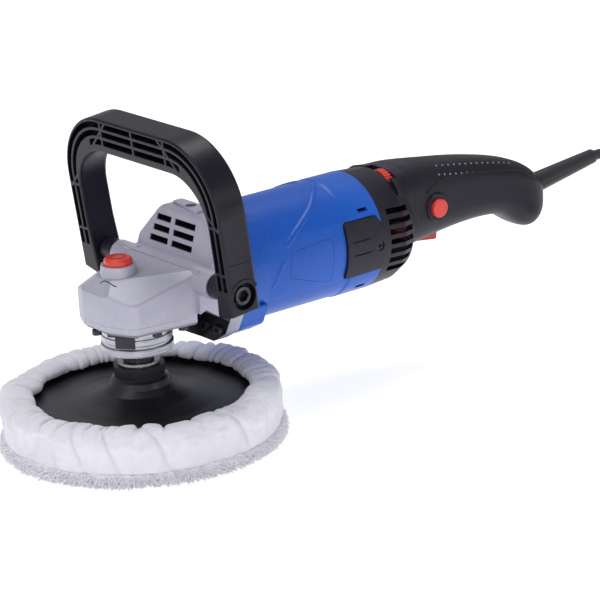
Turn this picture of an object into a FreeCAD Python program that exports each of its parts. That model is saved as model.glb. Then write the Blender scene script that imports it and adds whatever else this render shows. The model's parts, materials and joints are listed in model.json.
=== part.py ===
import FreeCAD, Part
import math
import os
import re
import Sketcher
from FreeCAD import Placement, Rotation, Vector

# Rotary polisher. Origin on the spindle axis in the plane of the polishing face; +Z up,
# +X from the gear head towards the rear grip, +Y to the far side of the tool.
# The heights below count from the seam plane of the bonnet, and every sub-part is placed
# face_drop higher, so that the pile's lowest face lies at z = 0. The motor axis runs along
# X at the height motor_axis.

SIZES = {
    # polishing pad and spindle
    "face_drop": 4.0, "bonnet_radius": 100.0, "bonnet_top": 38.0, "bonnet_mouth": 75.5,
    "plate_radius": 88.0, "plate_bottom": 20.0, "plate_edge": 5.5, "hub_radius": 18.0, "hub_top": 53.0,
    "spindle_radius": 7.0, "spindle_tip": 5.0, "thread_radius": 6.8, "running_gap": 0.05,
    # gear case
    "collar_radius": 25.0, "collar_bottom": 63.8, "cover_bottom": 84.5, "head_bottom": 91.0,
    "motor_axis": 107.0, "crown_radius": 27.0, "pinion_radius": 6.75, "gear_width": 7.5,
    "gear_floor": 93.0, "web_top": 97.5, "chamber_radius": 31.0, "chamber_top": 110.0,
    "bush_radius": 8.2, "lock_offset": 11.0, "lock_pin": 2.4, "lock_collar_top": 128.8,
    # motor
    "motor_front": 62.0, "motor_rear": 191.0, "motor_radius": 43.7, "motor_wall": 3.0,
    "shaft_radius": 5.0, "rear_shaft": 4.0, "core_front": 104.0, "core_rear": 148.0,
    "core_radius": 22.5, "field_bore": 23.5, "field_radius": 37.5, "fan_front": 84.0,
    "fan_radius": 37.0, "commutator_front": 160.0, "commutator_rear": 178.0, "commutator_radius": 14.0,
    # rear cover, grip and controls
    "cover_rear": 233.5, "grip_wall": 2.6, "dial_radius": 14.0, "dial_width": 6.0,
    "dial_x": 219.0, "dial_y": -8.0, "dial_height": 134.8, "lock_on_x": 256.0, "lock_on_height": 115.3,
    "lock_on_radius": 7.0, "trigger_pivot_x": 248.0, "trigger_pivot_height": 101.0, "trigger_width": 17.0,
    # loop handle
    "loop_half_width": 92.0, "loop_leg": 15.0, "loop_depth": 24.0, "loop_top": 108.5, "loop_bar": 25.0,
    "loop_corner": 50.0, "loop_lean": 6.3, "loop_foot": 16.0, "bolt_x": 30.0, "bolt_height": 115.0,
    # cord and plug
    "cord_radius": 4.0, "coil_inner": 32.0, "coil_outer": 56.0, "coil_height": 24.0,
    "coil_x": 520.0, "coil_y": -118.0, "plug_half_width": 17.5, "plug_thickness": 16.0, "plug_length": 44.0,
    "plug_relief": 28.0, "plug_pin_radius": 2.4,
}

ALIAS = re.compile(r"[a-z][a-z_]*")

doc = FreeCAD.newDocument("RotaryPolisher")
sheet = doc.addObject("Spreadsheet::Sheet", "Sheet")
for row, (alias, number) in enumerate(SIZES.items(), start=1):
    sheet.set("A%d" % row, alias)
    sheet.set("B%d" % row, str(number))
    sheet.setAlias("B%d" % row, alias)
doc.recompute()

nodes = []


def size(alias):
    """The number that the sheet holds under an alias."""
    return float(sheet.get(alias))


def bound(text):
    """An expression in plain alias names, written out for the sheet."""
    return ALIAS.sub(lambda found: "Sheet." + found.group(0), text)


def sub_part(item, label):
    """Names a finished document object as one sub-part of the polisher."""
    item.Label = label
    nodes.append(item)
    return item


def move(item, x="0", y="0", z="0"):
    """Binds an object's place to the sheet."""
    for axis, text in (("x", x), ("y", y), ("z", z + " + face_drop")):
        item.setExpression("Placement.Base." + axis, bound(text))


# ---- sketched bodies -------------------------------------------------------------------------

def origin_plane(body, role):
    return next(item for item in body.Origin.OriginFeatures if item.Role == role)


def outline(body, role, corners, name="Outline"):
    """A closed sketch of straight lines whose corners are bound to the sheet."""
    sketch = body.newObject("Sketcher::SketchObject", name)
    sketch.AttachmentSupport = (origin_plane(body, role), [""])
    sketch.MapMode = "FlatFace"
    count = len(corners)
    ring = [Vector(9 * math.cos(k * math.tau / count), 9 * math.sin(k * math.tau / count), 0)
            for k in range(count)]
    for k in range(count):
        sketch.addGeometry(Part.LineSegment(ring[k], ring[(k + 1) % count]))
    for k in range(count):
        sketch.addConstraint(Sketcher.Constraint("Coincident", k, 2, (k + 1) % count, 1))
    for k, corner in enumerate(corners):
        for kind, text in zip(("DistanceX", "DistanceY"), corner):
            index = sketch.addConstraint(Sketcher.Constraint(kind, -1, 1, k, 1, 1.0))
            sketch.setExpression("Constraints[%d]" % index, bound(text))
    return sketch


def turned(label, corners, along_motor=False):
    """A body of revolution: corners are (along the axis, radius)."""
    body = doc.addObject("PartDesign::Body", label)
    if not along_motor:
        corners = [(radius, along) for along, radius in corners]
    sketch = outline(body, "XZ_Plane", corners)
    turn = body.newObject("PartDesign::Revolution", "Turn")
    turn.Profile = sketch
    turn.ReferenceAxis = (sketch, ["H_Axis" if along_motor else "V_Axis"])
    turn.Angle = 360
    move(body, z="motor_axis" if along_motor else "0")
    return sub_part(body, label)


def ring_of_cuts(body, corners, length, count, role="YZ_Plane"):
    """Cuts one pocket through a body and repeats it round the sketch's normal."""
    doc.recompute()
    before = body.Shape.Volume
    sketch = outline(body, role, corners, "Slot")
    pocket = body.newObject("PartDesign::Pocket", "Pocket")
    pocket.Profile = sketch
    pocket.SideType = "Symmetric"
    pocket.setExpression("Length", bound(length))
    pattern = body.newObject("PartDesign::PolarPattern", "Around")
    pattern.Originals = [pocket]
    pattern.Axis = (sketch, ["N_Axis"])
    pattern.Angle = 360
    pattern.Occurrences = count
    body.Tip = pattern
    doc.recompute()
    if not body.Shape.Volume < before:
        raise RuntimeError(body.Label + ": the slots cut nothing")


# ---- primitives ------------------------------------------------------------------------------

TURN = {"Z": Rotation(), "X": Rotation(Vector(0, 1, 0), 90), "Y": Rotation(Vector(1, 0, 0), -90)}


def rod(name, axis, radius, length, x="0", y="0", z="0"):
    item = doc.addObject("Part::Cylinder", name)
    item.Placement = Placement(Vector(), TURN[axis])
    item.setExpression("Radius", bound(radius))
    item.setExpression("Height", bound(length))
    move(item, x, y, z)
    return item


def cut(name, base, tool):
    item = doc.addObject("Part::Cut", name)
    item.Base = base
    item.Tool = tool
    return item


def fused(name, shapes):
    item = doc.addObject("Part::MultiFuse", name)
    item.Shapes = shapes
    return item


def tube(label, axis, outer, inner, length, x="0", y="0", z="0"):
    wall = rod(label + "_outside", axis, outer, length, x, y, z)
    bore = rod(label + "_bore", axis, inner, length, x, y, z)
    return sub_part(cut(label, wall, bore), label)


def grouped(label, shapes):
    """Several separate solids that share one sub-part, such as a set of screws."""
    item = doc.addObject("Part::Compound", label)
    item.Links = shapes
    return sub_part(item, label)


# ---- free-form shapes ------------------------------------------------------------------------

def shaped(label, shape):
    item = doc.addObject("Part::Feature", label)
    item.Shape = shape
    item.Placement = Placement(Vector(0, 0, size("face_drop")), Rotation()) * shape.Placement
    return sub_part(item, label)


def rounded(corners, radii, lift):
    """A closed wire through corners with rounded corners; lift places each (u, v) in space."""
    count = len(corners)
    flat = [Vector(u, v, 0) for u, v in corners]
    edges = []
    ends = []
    for k in range(count):
        back = (flat[k - 1] - flat[k]).normalize()
        ahead = (flat[(k + 1) % count] - flat[k]).normalize()
        half = back.getAngle(ahead) / 2
        reach = radii[k] / math.tan(half)
        middle = (back + ahead).normalize() * (radii[k] / math.sin(half) - radii[k])
        ends.append((flat[k] + back * reach, flat[k] + middle, flat[k] + ahead * reach))
    for k in range(count):
        first, middle, last = ends[k]
        if radii[k] > 0:
            edges.append(Part.Arc(lift(first), lift(middle), lift(last)).toShape())
        edges.append(Part.LineSegment(lift(last), lift(ends[(k + 1) % count][0])).toShape())
    return Part.Wire(edges)


def prism(corners, radii, axis, low, high):
    """A solid with a rounded outline, from low to high along X, Y or Z."""
    lifts = {"X": lambda p: Vector(low, p.x, p.y), "Y": lambda p: Vector(p.x, low, p.y),
             "Z": lambda p: Vector(p.x, p.y, low)}
    spans = {"X": Vector(high - low, 0, 0), "Y": Vector(0, high - low, 0), "Z": Vector(0, 0, high - low)}
    if not hasattr(radii, "__len__"):
        radii = [radii] * len(corners)
    return Part.Face(rounded(corners, radii, lifts[axis])).extrude(spans[axis])


def box(low, high):
    return Part.makeBox(high[0] - low[0], high[1] - low[1], high[2] - low[2], Vector(*low))


def cylinder(radius, length, start, way):
    return Part.makeCylinder(radius, length, Vector(*start), Vector(*way))


def along_motor(corners):
    """A solid of revolution round the motor axis from (x, radius) corners."""
    height = size("motor_axis")
    points = [Vector(x, 0, height + radius) for x, radius in corners]
    face = Part.Face(Part.makePolygon(points + points[:1]))
    return face.revolve(Vector(0, 0, height), Vector(1, 0, 0), 360)


def mirrored(shape):
    """The same shape on the other side of the tool."""
    return shape.mirror(Vector(), Vector(0, 1, 0))


# ---- pad, bonnet and spindle -----------------------------------------------------------------

def polishing_pad():
    turned("backing_plate", [
        ("plate_bottom", "0"), ("plate_bottom", "plate_radius"),
        ("plate_bottom + plate_edge", "plate_radius"), ("plate_bottom + plate_edge", "plate_radius - 12"),
        ("plate_bottom + 7.5", "hub_radius + 36"), ("plate_bottom + 11", "hub_radius + 19"),
        ("plate_bottom + 15", "hub_radius + 9"), ("plate_bottom + 19", "hub_radius + 4.5"),
        ("hub_top - 10", "hub_radius + 2.5"), ("hub_top - 8.5", "hub_radius"),
        ("hub_top", "hub_radius"), ("hub_top", "hub_radius - 6"),
        ("hub_top - 22", "hub_radius - 6"), ("hub_top - 22", "0")])
    turned("plate_nut", [
        ("hub_top - 22", "thread_radius"), ("hub_top - 22", "hub_radius - 6"),
        ("hub_top + 1", "hub_radius - 6"), ("hub_top + 1", "hub_radius - 3"),
        ("hub_top + 3", "hub_radius - 3"), ("hub_top + 3", "thread_radius")])
    turned("bonnet", [
        ("0 - face_drop", "0"), ("0 - face_drop", "bonnet_radius - 7"),
        ("1 - face_drop", "bonnet_radius - 2"),
        ("2", "bonnet_radius + 1"), ("6", "bonnet_radius - 1"), ("16", "bonnet_radius - 1.5"),
        ("26", "bonnet_radius + 0.5"), ("bonnet_top - 6", "bonnet_radius - 0.5"),
        ("bonnet_top - 1", "bonnet_radius - 6"), ("bonnet_top", "bonnet_radius - 12"),
        ("bonnet_top - 1.5", "bonnet_mouth + 5"), ("bonnet_top - 6", "bonnet_mouth"),
        ("plate_bottom + plate_edge + 1", "bonnet_mouth"),
        ("plate_bottom + plate_edge + 1", "plate_radius"),
        ("plate_bottom", "plate_radius"), ("plate_bottom", "0")])


def spindle():
    turned("spindle", [
        ("hub_top - 22", "0"), ("hub_top - 22", "thread_radius"), ("hub_top + 3", "thread_radius"),
        ("hub_top + 3", "11"), ("hub_top + 9", "11"), ("hub_top + 9", "spindle_radius + 1"),
        ("gear_floor", "spindle_radius + 1"), ("gear_floor", "spindle_radius"),
        ("chamber_top - 4", "spindle_radius"), ("chamber_top - 4", "spindle_tip"),
        ("chamber_top + 6", "spindle_tip"), ("chamber_top + 6", "0")])
    tube("gear_retaining_ring", "Z", "spindle_radius + 1.4", "spindle_radius", "1.2", z="web_top + 3.5")


# ---- bevel gears -----------------------------------------------------------------------------

CROWN_TEETH = 36
PINION_TEETH = 9
PRESSURE_ANGLE = math.radians(20)


def cone_frame(pitch_radius, apex_depth):
    """Pitch point, and the directions along the pitch line and across it, for a gear whose
    axis is Z and whose cone apex is the origin, with the gear below it."""
    pitch_point = Vector(pitch_radius, 0, -apex_depth)
    along = Vector(pitch_point).normalize()
    across = Vector(-along.z, 0, along.x)
    return pitch_point, along, across


def bevel_tooth(pitch_radius, apex_depth, half_profile):
    """One straight tooth: half_profile is (height over the pitch line, half thickness)."""
    pitch_point, along, across = cone_frame(pitch_radius, apex_depth)
    full = [(-half, rise) for rise, half in half_profile]
    full += [(half, rise) for rise, half in reversed(half_profile)]
    outer = [pitch_point + Vector(0, 1, 0) * side + across * rise for side, rise in full]
    shrink = 1 - size("gear_width") / pitch_point.Length
    inner = [point * shrink for point in outer]
    wires = [Part.makePolygon(ring + ring[:1]) for ring in (outer, inner)]
    return Part.makeLoft(wires, True, True)


def bevel_gear(pitch_radius, apex_depth, half_profile, teeth, blank):
    tooth = bevel_tooth(pitch_radius, apex_depth, half_profile)
    shapes = []
    for k in range(teeth):
        copy = tooth.copy()
        copy.rotate(Vector(), Vector(0, 0, 1), 360 * k / teeth)
        shapes.append(copy)
    return blank.fuse(shapes).removeSplitter()


def involute_half(rise, equivalent_radius, half_at_pitch):
    """Half thickness of an involute tooth at a height over the pitch line."""
    base = equivalent_radius * math.cos(PRESSURE_ANGLE)
    radius = max(equivalent_radius + rise, base)
    angle = math.acos(base / radius)
    swing = (half_at_pitch / equivalent_radius + math.tan(PRESSURE_ANGLE) - PRESSURE_ANGLE
             - math.tan(angle) + angle)
    return (equivalent_radius + rise) * math.sin(swing)


def ring_blank(corners):
    """A revolved blank from (radius, height) corners in the gear's own frame."""
    points = [Vector(radius, 0, height) for radius, height in corners]
    return Part.Face(Part.makePolygon(points + points[:1])).revolve(Vector(), Vector(0, 0, 1), 360)


def gears():
    crown, pinion = size("crown_radius"), size("pinion_radius")
    apex = Vector(0, 0, size("motor_axis"))
    pitch_point, along, across = cone_frame(crown, pinion)
    root = 2.1
    crown_profile = [(-root - 0.8, 1.75), (-root, 1.68), (0.7, 0.66)]
    outer_root = pitch_point - across * root
    inner_root = (pitch_point - across * root) * (1 - size("gear_width") / pitch_point.Length)
    floor = size("gear_floor") - size("motor_axis")
    web = size("web_top") - size("motor_axis")
    blank = ring_blank([
        (size("spindle_radius"), floor), (outer_root.x, floor), (outer_root.x, outer_root.z),
        (inner_root.x, inner_root.z), (inner_root.x - 1, web), (size("spindle_radius") + 0.6, web),
        (size("spindle_radius") + 0.6, web + 3.5), (size("spindle_radius"), web + 3.5)])
    wheel = bevel_gear(crown, pinion, crown_profile, CROWN_TEETH, blank)
    for k in range(4):
        turn = math.radians(90 * k + 180)
        place = (size("lock_offset") * math.cos(turn), size("lock_offset") * math.sin(turn), floor - 1)
        wheel = wheel.cut(cylinder(size("lock_pin") + 0.6, web - floor + 2, place, (0, 0, 1)))
    wheel.translate(apex)
    shaped("crown_gear", wheel)

    pitch_point, along, across = cone_frame(pinion, crown)
    equivalent = pinion / math.cos(math.atan2(pinion, crown))
    rises = [-1.1, -0.5, 0.0, 0.6, 1.2, 1.7]
    pinion_profile = [(rise, involute_half(rise, equivalent, 1.25)) for rise in rises]
    outer_root = pitch_point - across * 0.95
    inner_root = outer_root * (1 - size("gear_width") / pitch_point.Length)
    bore = 3.2
    blank = ring_blank([
        (bore, inner_root.z), (inner_root.x, inner_root.z), (outer_root.x, outer_root.z),
        (outer_root.x, outer_root.z - 4), (bore, outer_root.z - 4)])
    wheel = bevel_gear(pinion, crown, pinion_profile, PINION_TEETH, blank)
    wheel.rotate(Vector(), Vector(0, 1, 0), -90)
    wheel.translate(apex)
    shaped("pinion_gear", wheel)


# ---- gear case -------------------------------------------------------------------------------

NOSE_PLAN = [(-24.5, -35), (46, -44.5), (46, 44.5), (-24.5, 35), (-34, 14), (-34, -14)]
NOSE_ROUNDS = [9, 0, 0, 9, 16, 16]
NOSE_FACET = (Vector(-23, -35, 107.5), Vector(37, -45, 124), Vector(-20, -10, 121.6))
BELL_SECTION = [(24, 154.5), (44, 131), (45.3, 118), (45.3, 86), (36, 69.5), (20, 60.2),
                (-20, 60.2), (-36, 69.5), (-45.3, 86), (-45.3, 118), (-44, 131), (-24, 154.5)]
BELL_ROUNDS = [3, 4, 4, 6, 8, 12, 12, 8, 6, 4, 4, 3]
COVER_SCREWS = ((-31, 3), (-22, 24), (-4, -31.5), (17, -33), (17, 33))
VENT_ROWS = (131.0, 138.5, 146.0)
BOLT_BOSS = 9.5


def side_plan(corners, half_width=60):
    return prism(corners, 0, "Y", -half_width, half_width)


def nose_block(low, high):
    return prism(NOSE_PLAN, NOSE_ROUNDS, "Z", low, high)


def above_facet(first, second, third):
    """A large block that lies above the plane through three points."""
    normal = (second - first).cross(third - first).normalize()
    if normal.z < 0:
        normal = normal * -1
    turn = Rotation(Vector(0, 0, 1), normal)
    block = Part.makeBox(300, 300, 80, Vector(-150, -150, 0))
    block.Placement = Placement(first, turn)
    return block


def top_edges(solid, limit):
    """The edges round the top faces of the nose, without its rear end."""
    return [edge for edge in solid.Edges
            if edge.BoundBox.ZMin > limit and edge.BoundBox.XMin < 40 and edge.Length > 5]


def gear_head():
    bottom, axis = size("head_bottom"), size("motor_axis")
    nose = nose_block(bottom, 140).common(side_plan([(-50, bottom), (-50, 98), (-24, 121), (50, 124.7),
                                                     (50, bottom)]))
    facet = above_facet(*NOSE_FACET)
    nose = nose.cut([facet, mirrored(facet)])
    nose = nose.makeFillet(2.2, top_edges(nose, 98))
    front, bolt_x, bolt_z = size("motor_front"), size("bolt_x"), size("bolt_height")
    bell = prism(BELL_SECTION, BELL_ROUNDS, "X", 20, front)
    bell = bell.common(side_plan([(36, 124), (44, 152), (49, 156), (front, 156), (front, 58), (56, 58),
                                  (38, 68), (28, 82), (24, bottom), (24, 124)]))
    lock_x = -size("lock_offset")
    collar = Part.makeCone(13.6, 12.4, 12, Vector(lock_x, 0, size("lock_collar_top") - 12))
    pad = prism([(47, -15), (60, -17), (60, 20), (52, 20)], 1.5, "Z", 150, 156.5)
    head = nose.fuse([bell, collar, pad])
    boss = cylinder(BOLT_BOSS, 23, (bolt_x, -58, bolt_z), (0, 1, 0))
    head = head.fuse([boss, mirrored(boss)])

    chamber = cylinder(size("chamber_radius"), size("chamber_top") - bottom + 1, (0, 0, bottom - 1), (0, 0, 1))
    tunnel = cylinder(13, 26, (18, 0, axis), (1, 0, 0))
    seat = cylinder(13.05, 12, (40, 0, axis), (1, 0, 0))
    bay = cylinder(39, front - 51, (52, 0, axis), (1, 0, 0))
    bush = cylinder(size("bush_radius"), 9, (0, 0, size("chamber_top") - 2), (0, 0, 1))
    lock_bore = cylinder(size("lock_pin") + 0.06, 30, (lock_x, 0, 100), (0, 0, 1))
    lock_well = cylinder(10.3, 12, (lock_x, 0, size("lock_collar_top") - 8), (0, 0, 1))
    cuts = [chamber, tunnel, seat, bay, bush, lock_bore, lock_well,
            cylinder(2.2, 12, (53.5, 0, 148), (0, 0, 1)), cylinder(4.0, 6, (53.5, 0, 154), (0, 0, 1))]
    for height in VENT_ROWS:
        lean = (height - 131) * 0.3
        cuts.append(box((30, -19.5, height - 2.2), (54, 5, height + 2.2)))
        cuts.append(box((30, 9.5, height - 2.2), (54, 31 - lean, height + 2.2)))
    for side in (-1, 1):
        cuts.append(cylinder(5.1, 25, (bolt_x, side * 34, bolt_z), (0, side, 0)))
        pocket = prism([(24, 93), (29, 95), (50.5, 80), (50.5, 56), (20, 56)], 0, "Y", 7, 60)
        cuts.append(pocket if side > 0 else mirrored(pocket))
    head = head.cut(cuts)
    shaped("gear_head", head.removeSplitter())


def gear_case_fittings():
    low, high = size("cover_bottom"), size("head_bottom")
    cover = nose_block(low, high).common(side_plan([(-60, low), (-60, high), (23.8, high), (23.8, low)]))
    cover = cover.makeChamfer(2.2, [edge for edge in cover.Edges
                                    if edge.BoundBox.ZMax < low + 0.1 and edge.BoundBox.XMin < 20])
    cuts = [cylinder(size("collar_radius") - 3, 20, (0, 0, low - 5), (0, 0, 1))]
    cuts += [cylinder(1.9, 20, (x, y, low - 5), (0, 0, 1)) for x, y in COVER_SCREWS]
    cover = cover.cut(cuts)
    shaped("gearcase_cover", cover)
    turned("bearing_collar", [
        ("collar_bottom", "spindle_radius + 6"), ("collar_bottom", "collar_radius - 1.5"),
        ("collar_bottom + 1", "collar_radius + 0.8"), ("collar_bottom + 6", "collar_radius + 0.8"),
        ("collar_bottom + 7", "collar_radius - 0.6"), ("collar_bottom + 8.5", "collar_radius - 0.6"),
        ("collar_bottom + 9.2", "collar_radius + 0.4"), ("collar_bottom + 13", "collar_radius + 0.4"),
        ("collar_bottom + 13.6", "collar_radius - 0.4"), ("cover_bottom", "collar_radius - 0.4"),
        ("cover_bottom", "collar_radius - 3"), ("head_bottom", "collar_radius - 3"),
        ("head_bottom", "17.5"), ("head_bottom - 15", "17.5"), ("head_bottom - 15", "spindle_radius + 6")])
    tube("lower_bearing", "Z", "17.5", "spindle_radius + 1 + running_gap", "12", z="head_bottom - 15")
    tube("top_bush", "Z", "bush_radius", "spindle_tip + running_gap", "7", z="chamber_top")
    tube("dust_seal", "Z", "spindle_radius + 6", "spindle_radius + 1.5", "5", z="collar_bottom + 3")
    clip = box((-26.5, -7, 72), (-24.6, 7, 84.3)).fuse(box((-30, -11, 81.5), (-24.6, 11, 84.3)))
    clip = clip.cut(cylinder(size("collar_radius") + 0.5, 30, (0, 0, 60), (0, 0, 1)))
    clip.rotate(Vector(), Vector(0, 0, 1), 37)
    shaped("guard_key", clip)
    screws = []
    for x, y in COVER_SCREWS:
        head = rod("cover_screw", "Z", "3.4", "3.5", str(x), str(y), "cover_bottom - 3.5")
        shank = rod("cover_screw_shank", "Z", "1.9", "4", str(x), str(y), "cover_bottom")
        screws.append(fused("cover_screw_whole", [head, shank]))
    grouped("cover_screws", screws)


def lock_button():
    top = size("lock_collar_top")
    x = -size("lock_offset")
    cap = cylinder(10, 8, (x, 0, top - 3), (0, 0, 1))
    cap = cap.makeFillet(2.5, [edge for edge in cap.Edges if edge.BoundBox.ZMin > top + 4])
    pin_low = size("web_top") + 1.2
    pin = cylinder(size("lock_pin"), top - 2 - pin_low, (x, 0, pin_low), (0, 0, 1))
    shaped("spindle_lock_button", cap.fuse(pin).removeSplitter())
    spring_radius, wire_radius = 4.2, 0.3
    coil = Part.Wire(Part.makeHelix(1.0, 4.1, spring_radius).Edges)
    ring = Part.Circle(Vector(spring_radius, 0, 0), Vector(0, 1, 0), wire_radius)
    spring = coil.makePipeShell([Part.Wire([ring.toShape()])], True, True)
    spring.translate(Vector(x, 0, top - 7.6))
    shaped("lock_spring", spring)


# ---- motor -----------------------------------------------------------------------------------

FOOT_SECTION = [(44, 86), (36, 69.8), (20, 61.5), (-20, 61.5), (-36, 69.8), (-44, 86)]
FOOT_ROUNDS = [2, 8, 12, 12, 8, 2]
BRUSH_WINDOW = [(156, 85), (191, 86), (191, 121), (187, 127.5), (157, 127.5)]
BRUSH_ROUNDS = [3, 1, 1, 3, 4]


def motor_housing():
    front, rear, radius = size("motor_front"), size("motor_rear"), size("motor_radius")
    wall = size("motor_wall")
    shell = along_motor([(front, 0), (front, radius + 3.6), (front + 16, radius + 1.5), (front + 26, radius),
                         (rear - 30, radius), (rear - 28, radius + 0.8), (rear, radius + 0.8), (rear, 0)])
    foot = prism(FOOT_SECTION, FOOT_ROUNDS, "X", front, front + 22)
    foot = foot.common(side_plan([(front, 50), (front + 19, 50), (front + 22, 70),
                                  (front + 22, 90), (front, 90)]))
    shell = shell.fuse(foot)
    inside = along_motor([(front - 1, 0), (front - 1, radius - wall), (rear + 1, radius - wall), (rear + 1, 0)])
    shell = shell.cut(inside)
    for side in (-1, 1):
        window = prism(BRUSH_WINDOW, BRUSH_ROUNDS, "Y", 20, 60)
        shell = shell.cut(window if side > 0 else mirrored(window))
    slots = []
    for side in (-1, 1):
        for height in (132.5, 73.5):
            slots.append(box((174, side * 34 - 8, height - 1.2), (182.5, side * 34 + 8, height + 1.2)))
    shell = shell.cut(slots)
    shaped("motor_housing", shell.removeSplitter())
    for side, name in ((-1, "near"), (1, "far")):
        inset = [(x + (0.4 if x < 170 else -0.4), z + (0.4 if z < 100 else -0.4)) for x, z in BRUSH_WINDOW]
        window = prism(inset, BRUSH_ROUNDS, "Y", 20, 60)
        ring = along_motor([(150, radius - 2), (150, radius + 2), (rear + 5, radius + 2), (rear + 5, radius - 2)])
        plate = window.common(ring)
        hole = cylinder(3.6, 8, (186.5, 40, 105.3), (0, 1, 0))
        plate = plate.cut(hole)
        for height in (93.5, 102.5, 112.5):
            plate = plate.cut(box((163, radius + 0.9, height), (178, 60, height + 0.9)))
        shaped("brush_cover_" + name, plate if side > 0 else mirrored(plate))
    screws = []
    for side in (-1, 1):
        start = (186.5, side * 44.6, 105.3)
        head = cylinder(3.3, 2.6, start, (0, -side, 0))
        cross = box((-0.45, -0.8, -2.2), (0.45, 0.8, 2.2)).fuse(box((-2.2, -0.8, -0.45), (2.2, 0.8, 0.45)))
        cross.translate(Vector(*start))
        screws.append(head.cut(cross))
    shaped("brush_cover_screws", Part.makeCompound(screws))


def motor_parts():
    turned("armature_shaft", [
        ("19", "0"), ("19", "3.2"), ("crown_radius + 5", "3.2"), ("crown_radius + 5", "shaft_radius"),
        ("commutator_rear + 4", "shaft_radius"), ("commutator_rear + 4", "rear_shaft"),
        ("motor_rear + 6", "rear_shaft"), ("motor_rear + 6", "0")], along_motor=True)
    core = turned("armature_core", [
        ("core_front", "shaft_radius"), ("core_front", "core_radius"), ("core_rear", "core_radius"),
        ("core_rear", "shaft_radius")], along_motor=True)
    ring_of_cuts(core, [("core_radius - 9", "-1.1"), ("core_radius + 1", "-1.1"),
                        ("core_radius + 1", "1.1"), ("core_radius - 9", "1.1")], "core_rear * 3", 12)
    for name, low, high in (("front", "core_front - 8", "core_front"), ("rear", "core_rear", "core_rear + 8")):
        turned("armature_winding_" + name, [
            (low, "shaft_radius + 1"), (low, "core_radius - 5"), (high, "core_radius - 3"),
            (high, "shaft_radius + 1")], along_motor=True)
    commutator = turned("commutator", [
        ("commutator_front", "shaft_radius"), ("commutator_front", "commutator_radius"),
        ("commutator_rear", "commutator_radius"), ("commutator_rear", "shaft_radius")], along_motor=True)
    ring_of_cuts(commutator, [("commutator_radius - 1", "-0.3"), ("commutator_radius + 1", "-0.3"),
                              ("commutator_radius + 1", "0.3"), ("commutator_radius - 1", "0.3")],
                 "commutator_rear * 3", 24)
    fan = turned("cooling_fan", [
        ("fan_front", "shaft_radius"), ("fan_front", "fan_radius"), ("fan_front + 10", "fan_radius"),
        ("fan_front + 10", "shaft_radius + 6"), ("fan_front + 12", "shaft_radius + 6"),
        ("fan_front + 12", "shaft_radius")], along_motor=True)
    ring_of_cuts(fan, [("shaft_radius + 7", "1.2 - 0.14 * fan_radius"), ("fan_radius + 2", "1.2"),
                       ("fan_radius + 2", "0.36 * fan_radius"), ("shaft_radius + 7", "0.02 * fan_radius")],
                 "fan_front * 3", 12)


def motor_fixed_parts():
    tube("front_motor_bearing", "X", "13", "shaft_radius + running_gap", "10", x="41", z="motor_axis")
    tube("rear_motor_bearing", "X", "10", "rear_shaft + running_gap", "8", x="motor_rear - 5", z="motor_axis")
    turned("field_core", [
        ("core_front - 1", "field_bore"), ("core_front - 1", "field_radius"),
        ("core_rear + 1", "field_radius"), ("core_rear + 1", "field_bore")], along_motor=True)
    for name, low in (("front", "core_front - 9"), ("rear", "core_rear + 1")):
        turned("field_winding_" + name, [
            (low, "field_bore + 1"), (low, "field_radius - 3"), (low + " + 8", "field_radius - 3"),
            (low + " + 8", "field_bore + 1")], along_motor=True)
    turned("air_baffle", [
        ("fan_front - 6", "fan_radius - 7"), ("fan_front - 6", "motor_radius - motor_wall"),
        ("fan_front - 3", "motor_radius - motor_wall"), ("fan_front - 3", "fan_radius - 7")], along_motor=True)
    turned("rear_bearing_bracket", [
        ("motor_rear - 6", "10"), ("motor_rear - 6", "motor_radius - motor_wall"),
        ("motor_rear - 2", "motor_radius - motor_wall"), ("motor_rear - 2", "14"),
        ("motor_rear + 4", "14"), ("motor_rear + 4", "10")], along_motor=True)
    middle = (size("commutator_front") + size("commutator_rear")) / 2
    axis, reach = size("motor_axis"), size("commutator_radius") + 0.3
    for side, name in ((-1, "near"), (1, "far")):
        low, high = sorted((side * reach, side * (reach + 14)))
        shaped("carbon_brush_" + name, box((middle - 5, low, axis - 3), (middle + 5, high, axis + 3)))
        low, high = sorted((side * (reach + 3), side * (reach + 23)))
        holder = box((middle - 7.5, low, axis - 5.5), (middle + 7.5, high, axis + 5.5))
        low, high = sorted((side * (reach + 2), side * (reach + 21)))
        channel = box((middle - 5, low, axis - 3), (middle + 5, high, axis + 3))
        shaped("brush_holder_" + name, holder.cut(channel))
    screws = []
    x, z = 50.4, 72
    for y in (-30, -14.5, 14.5, 30):
        head = cylinder(3.6, 3.4, (x - 3.4, y, z), (1, 0, 0))
        head = head.cut(box((x - 3.5, y - 2.4, z - 0.5), (x - 2.2, y + 2.4, z + 0.5)))
        screws.append(head.cut(box((x - 3.5, y - 0.5, z - 2.4), (x - 2.2, y + 0.5, z + 2.4))))
    screws.append(cylinder(3.8, 2.2, (53.5, 0, 154), (0, 0, 1)))
    shaped("motor_flange_screws", Part.makeCompound(screws))


# ---- rear cover and grip ---------------------------------------------------------------------

GRIP_STATIONS = [
    # along X, underside, top, half width
    (216, 86.0, 149.5, 34.0), (233.5, 86.5, 149.0, 30.0), (256, 88.5, 147.0, 26.5),
    (278, 90.5, 144.0, 24.0), (300, 91.5, 140.6, 22.5), (318, 91.0, 137.0, 21.5),
    (334, 87.5, 133.2, 20.8), (350, 77.5, 128.0, 19.8), (362, 73.0, 121.8, 18.3),
    (371, 75.5, 114.5, 15.5), (378, 84.5, 108.0, 10.0)]
GRIP_SQUARENESS = 3.0


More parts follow.
